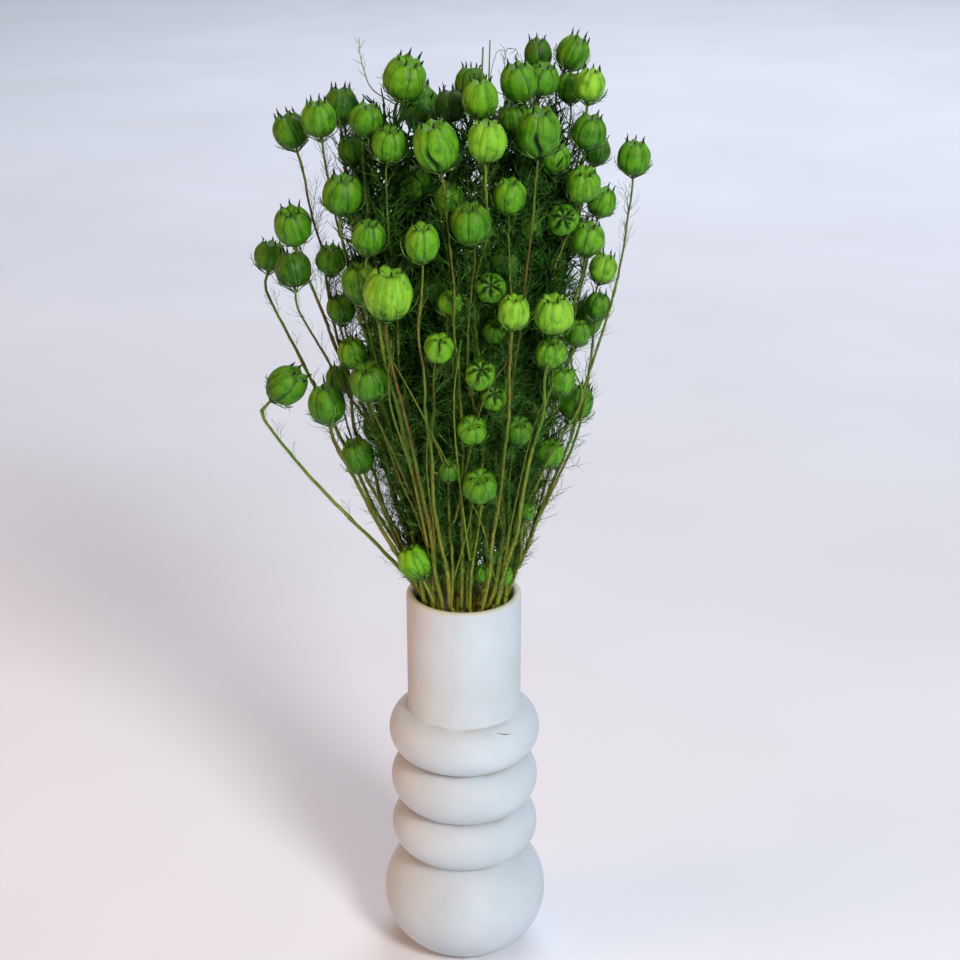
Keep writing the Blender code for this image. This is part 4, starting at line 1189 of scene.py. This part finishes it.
def make_bunch():
    """Makes the skins, models each kind of pod and leaf once, and builds every stem from copies of them."""
    skins = {
        "pod": papery_pod_skin(),
        "horn": horn_skin(),
        "bract": mottled_skin("dyed_bract_thread", "#264d16", "#7fa957"),
        # The leaf-thread skins are one dyed thread painted three ways: darkest for the coarse threads deep in
        # the bunch, as painted shade, and palest for the front and outer ones, partly as painted light.
        "deep_thread": mottled_skin("shaded_leaf_thread", "#12300a", "#275a17"),
        "dark_thread": mottled_skin("dyed_leaf_thread", "#17380c", "#36681c"),
        "light_thread": mottled_skin("pale_and_lit_leaf_thread", "#1c4410", "#67973f"),
        "stalk_green": stalk_skin("dyed_green_stalk", "#587f22", "#7b8d2c", 0.0),
        "stalk_olive": stalk_skin("dyed_olive_stalk", "#617c25", "#787428", 0.02),
        "stalk_brown": stalk_skin("dyed_brown_stalk", "#5a7024", "#66541f", 0.04),
    }
    pods, stalks, lines = arrange_bunch()
    kinds = {"pods": {name: make_pod_kind(name, skins) for name in POD_KINDS}, "leaves": {}}
    chance = random.Random(LEAF_KIND_SEED)
    for sort, (width, count) in LEAF_SORTS.items():
        skin = skins[sort + "_thread"]
        names = [f"{sort}_leaf_{k}" for k in range(count)]
        kinds["leaves"][sort] = [make_leaf_kind(name, skin, width, chance) for name in names]
    twigs = twig_strands(lines)
    for node in range(MAIN_STALKS):
        members = [(k, stalk) for k, stalk in enumerate(stalks) if stalk.node == node]
        make_stem(node, members, pods, lines, twigs, kinds, skins)
    leaves = [leaf for sort in kinds["leaves"].values() for leaf in sort]
    sections = [section_curve(sides) for sides in (THREAD_SIDES, STALK_SIDES)]
    for pattern_piece in (*kinds["pods"].values(), *leaves, *sections):
        bpy.data.objects.remove(pattern_piece)


def make_floor():
    """A plain pale floor, wide enough to reach past every view."""
    bpy.ops.object.select_all(action="DESELECT")
    bpy.ops.mesh.primitive_plane_add(size=12)
    floor = bpy.context.active_object
    floor.name = "floor"
    floor.data.materials.append(pale_board())


def add_light(name, place, target, size, power, colour, spread=180):
    light = bpy.data.lights.new(name, "AREA")
    light.shape = "DISK"
    light.size = size
    light.energy = power
    light.color = linear(colour)[:3]
    light.spread = math.radians(spread)
    lamp = bpy.data.objects.new(name, light)
    lamp.location = place
    lamp.rotation_euler = (Vector(target) - Vector(place)).to_track_quat("-Z", "Y").to_euler()
    bpy.context.scene.collection.objects.link(lamp)


def make_lights():
    """A soft key on the right, a warm card on the left, a faint fill on the foot, and a pale room."""
    add_light("key", (0.75, -1.35, 1.25), (0, 0, 0.38), 0.5, 26, "#fffcf6")
    add_light("warm_card", (-1.6, -0.4, 0.75), (0, 0, 0.15), 1.2, 13, "#ffa436")
    add_light("low_fill", (0.3, -1.3, 0.15), (0, 0, 0.07), 0.5, 0.2, "#f2f6ff", 30)
    add_light("ceiling", (0.7, 2.6, 3.0), (0.7, 2.6, 0), 3, 92, "#eff5ff")
    world = bpy.data.worlds.new("pale_room")
    bpy.context.scene.world = world
    world.use_nodes = True
    sky = world.node_tree.nodes["Background"]
    sky.inputs["Strength"].default_value = 0.32
    node = partial(add_node, world)
    way = node("SeparateXYZ", {0: node("TexCoord").outputs["Generated"]})
    side = node("MapRange", {"Value": way.outputs["X"], 1: -1.0, 2: 1.0})
    tint = node("ValToRGB", {0: side}, ((0.1, "#d9ccb8"), (0.45, "#e3e8f2"), (0.8, "#e4efff")))
    world.node_tree.links.new(tint.outputs["Color"], sky.inputs["Color"])
    bpy.context.scene.view_settings.view_transform = "Standard"


def make_camera():
    """The camera that the table of pods is given for."""
    camera = bpy.data.cameras.new("camera")
    camera.sensor_width = 36
    camera.lens = FOCAL / FRAME * camera.sensor_width
    camera.clip_start = 0.05
    eye = bpy.data.objects.new("camera", camera)
    eye.location = EYE
    eye.rotation_euler = (math.pi / 2 - EYE_DOWN, 0, 0)
    bpy.context.scene.collection.objects.link(eye)
    bpy.context.scene.camera = eye


make_camera()
make_lights()
make_floor()
make_vase()
make_bunch()
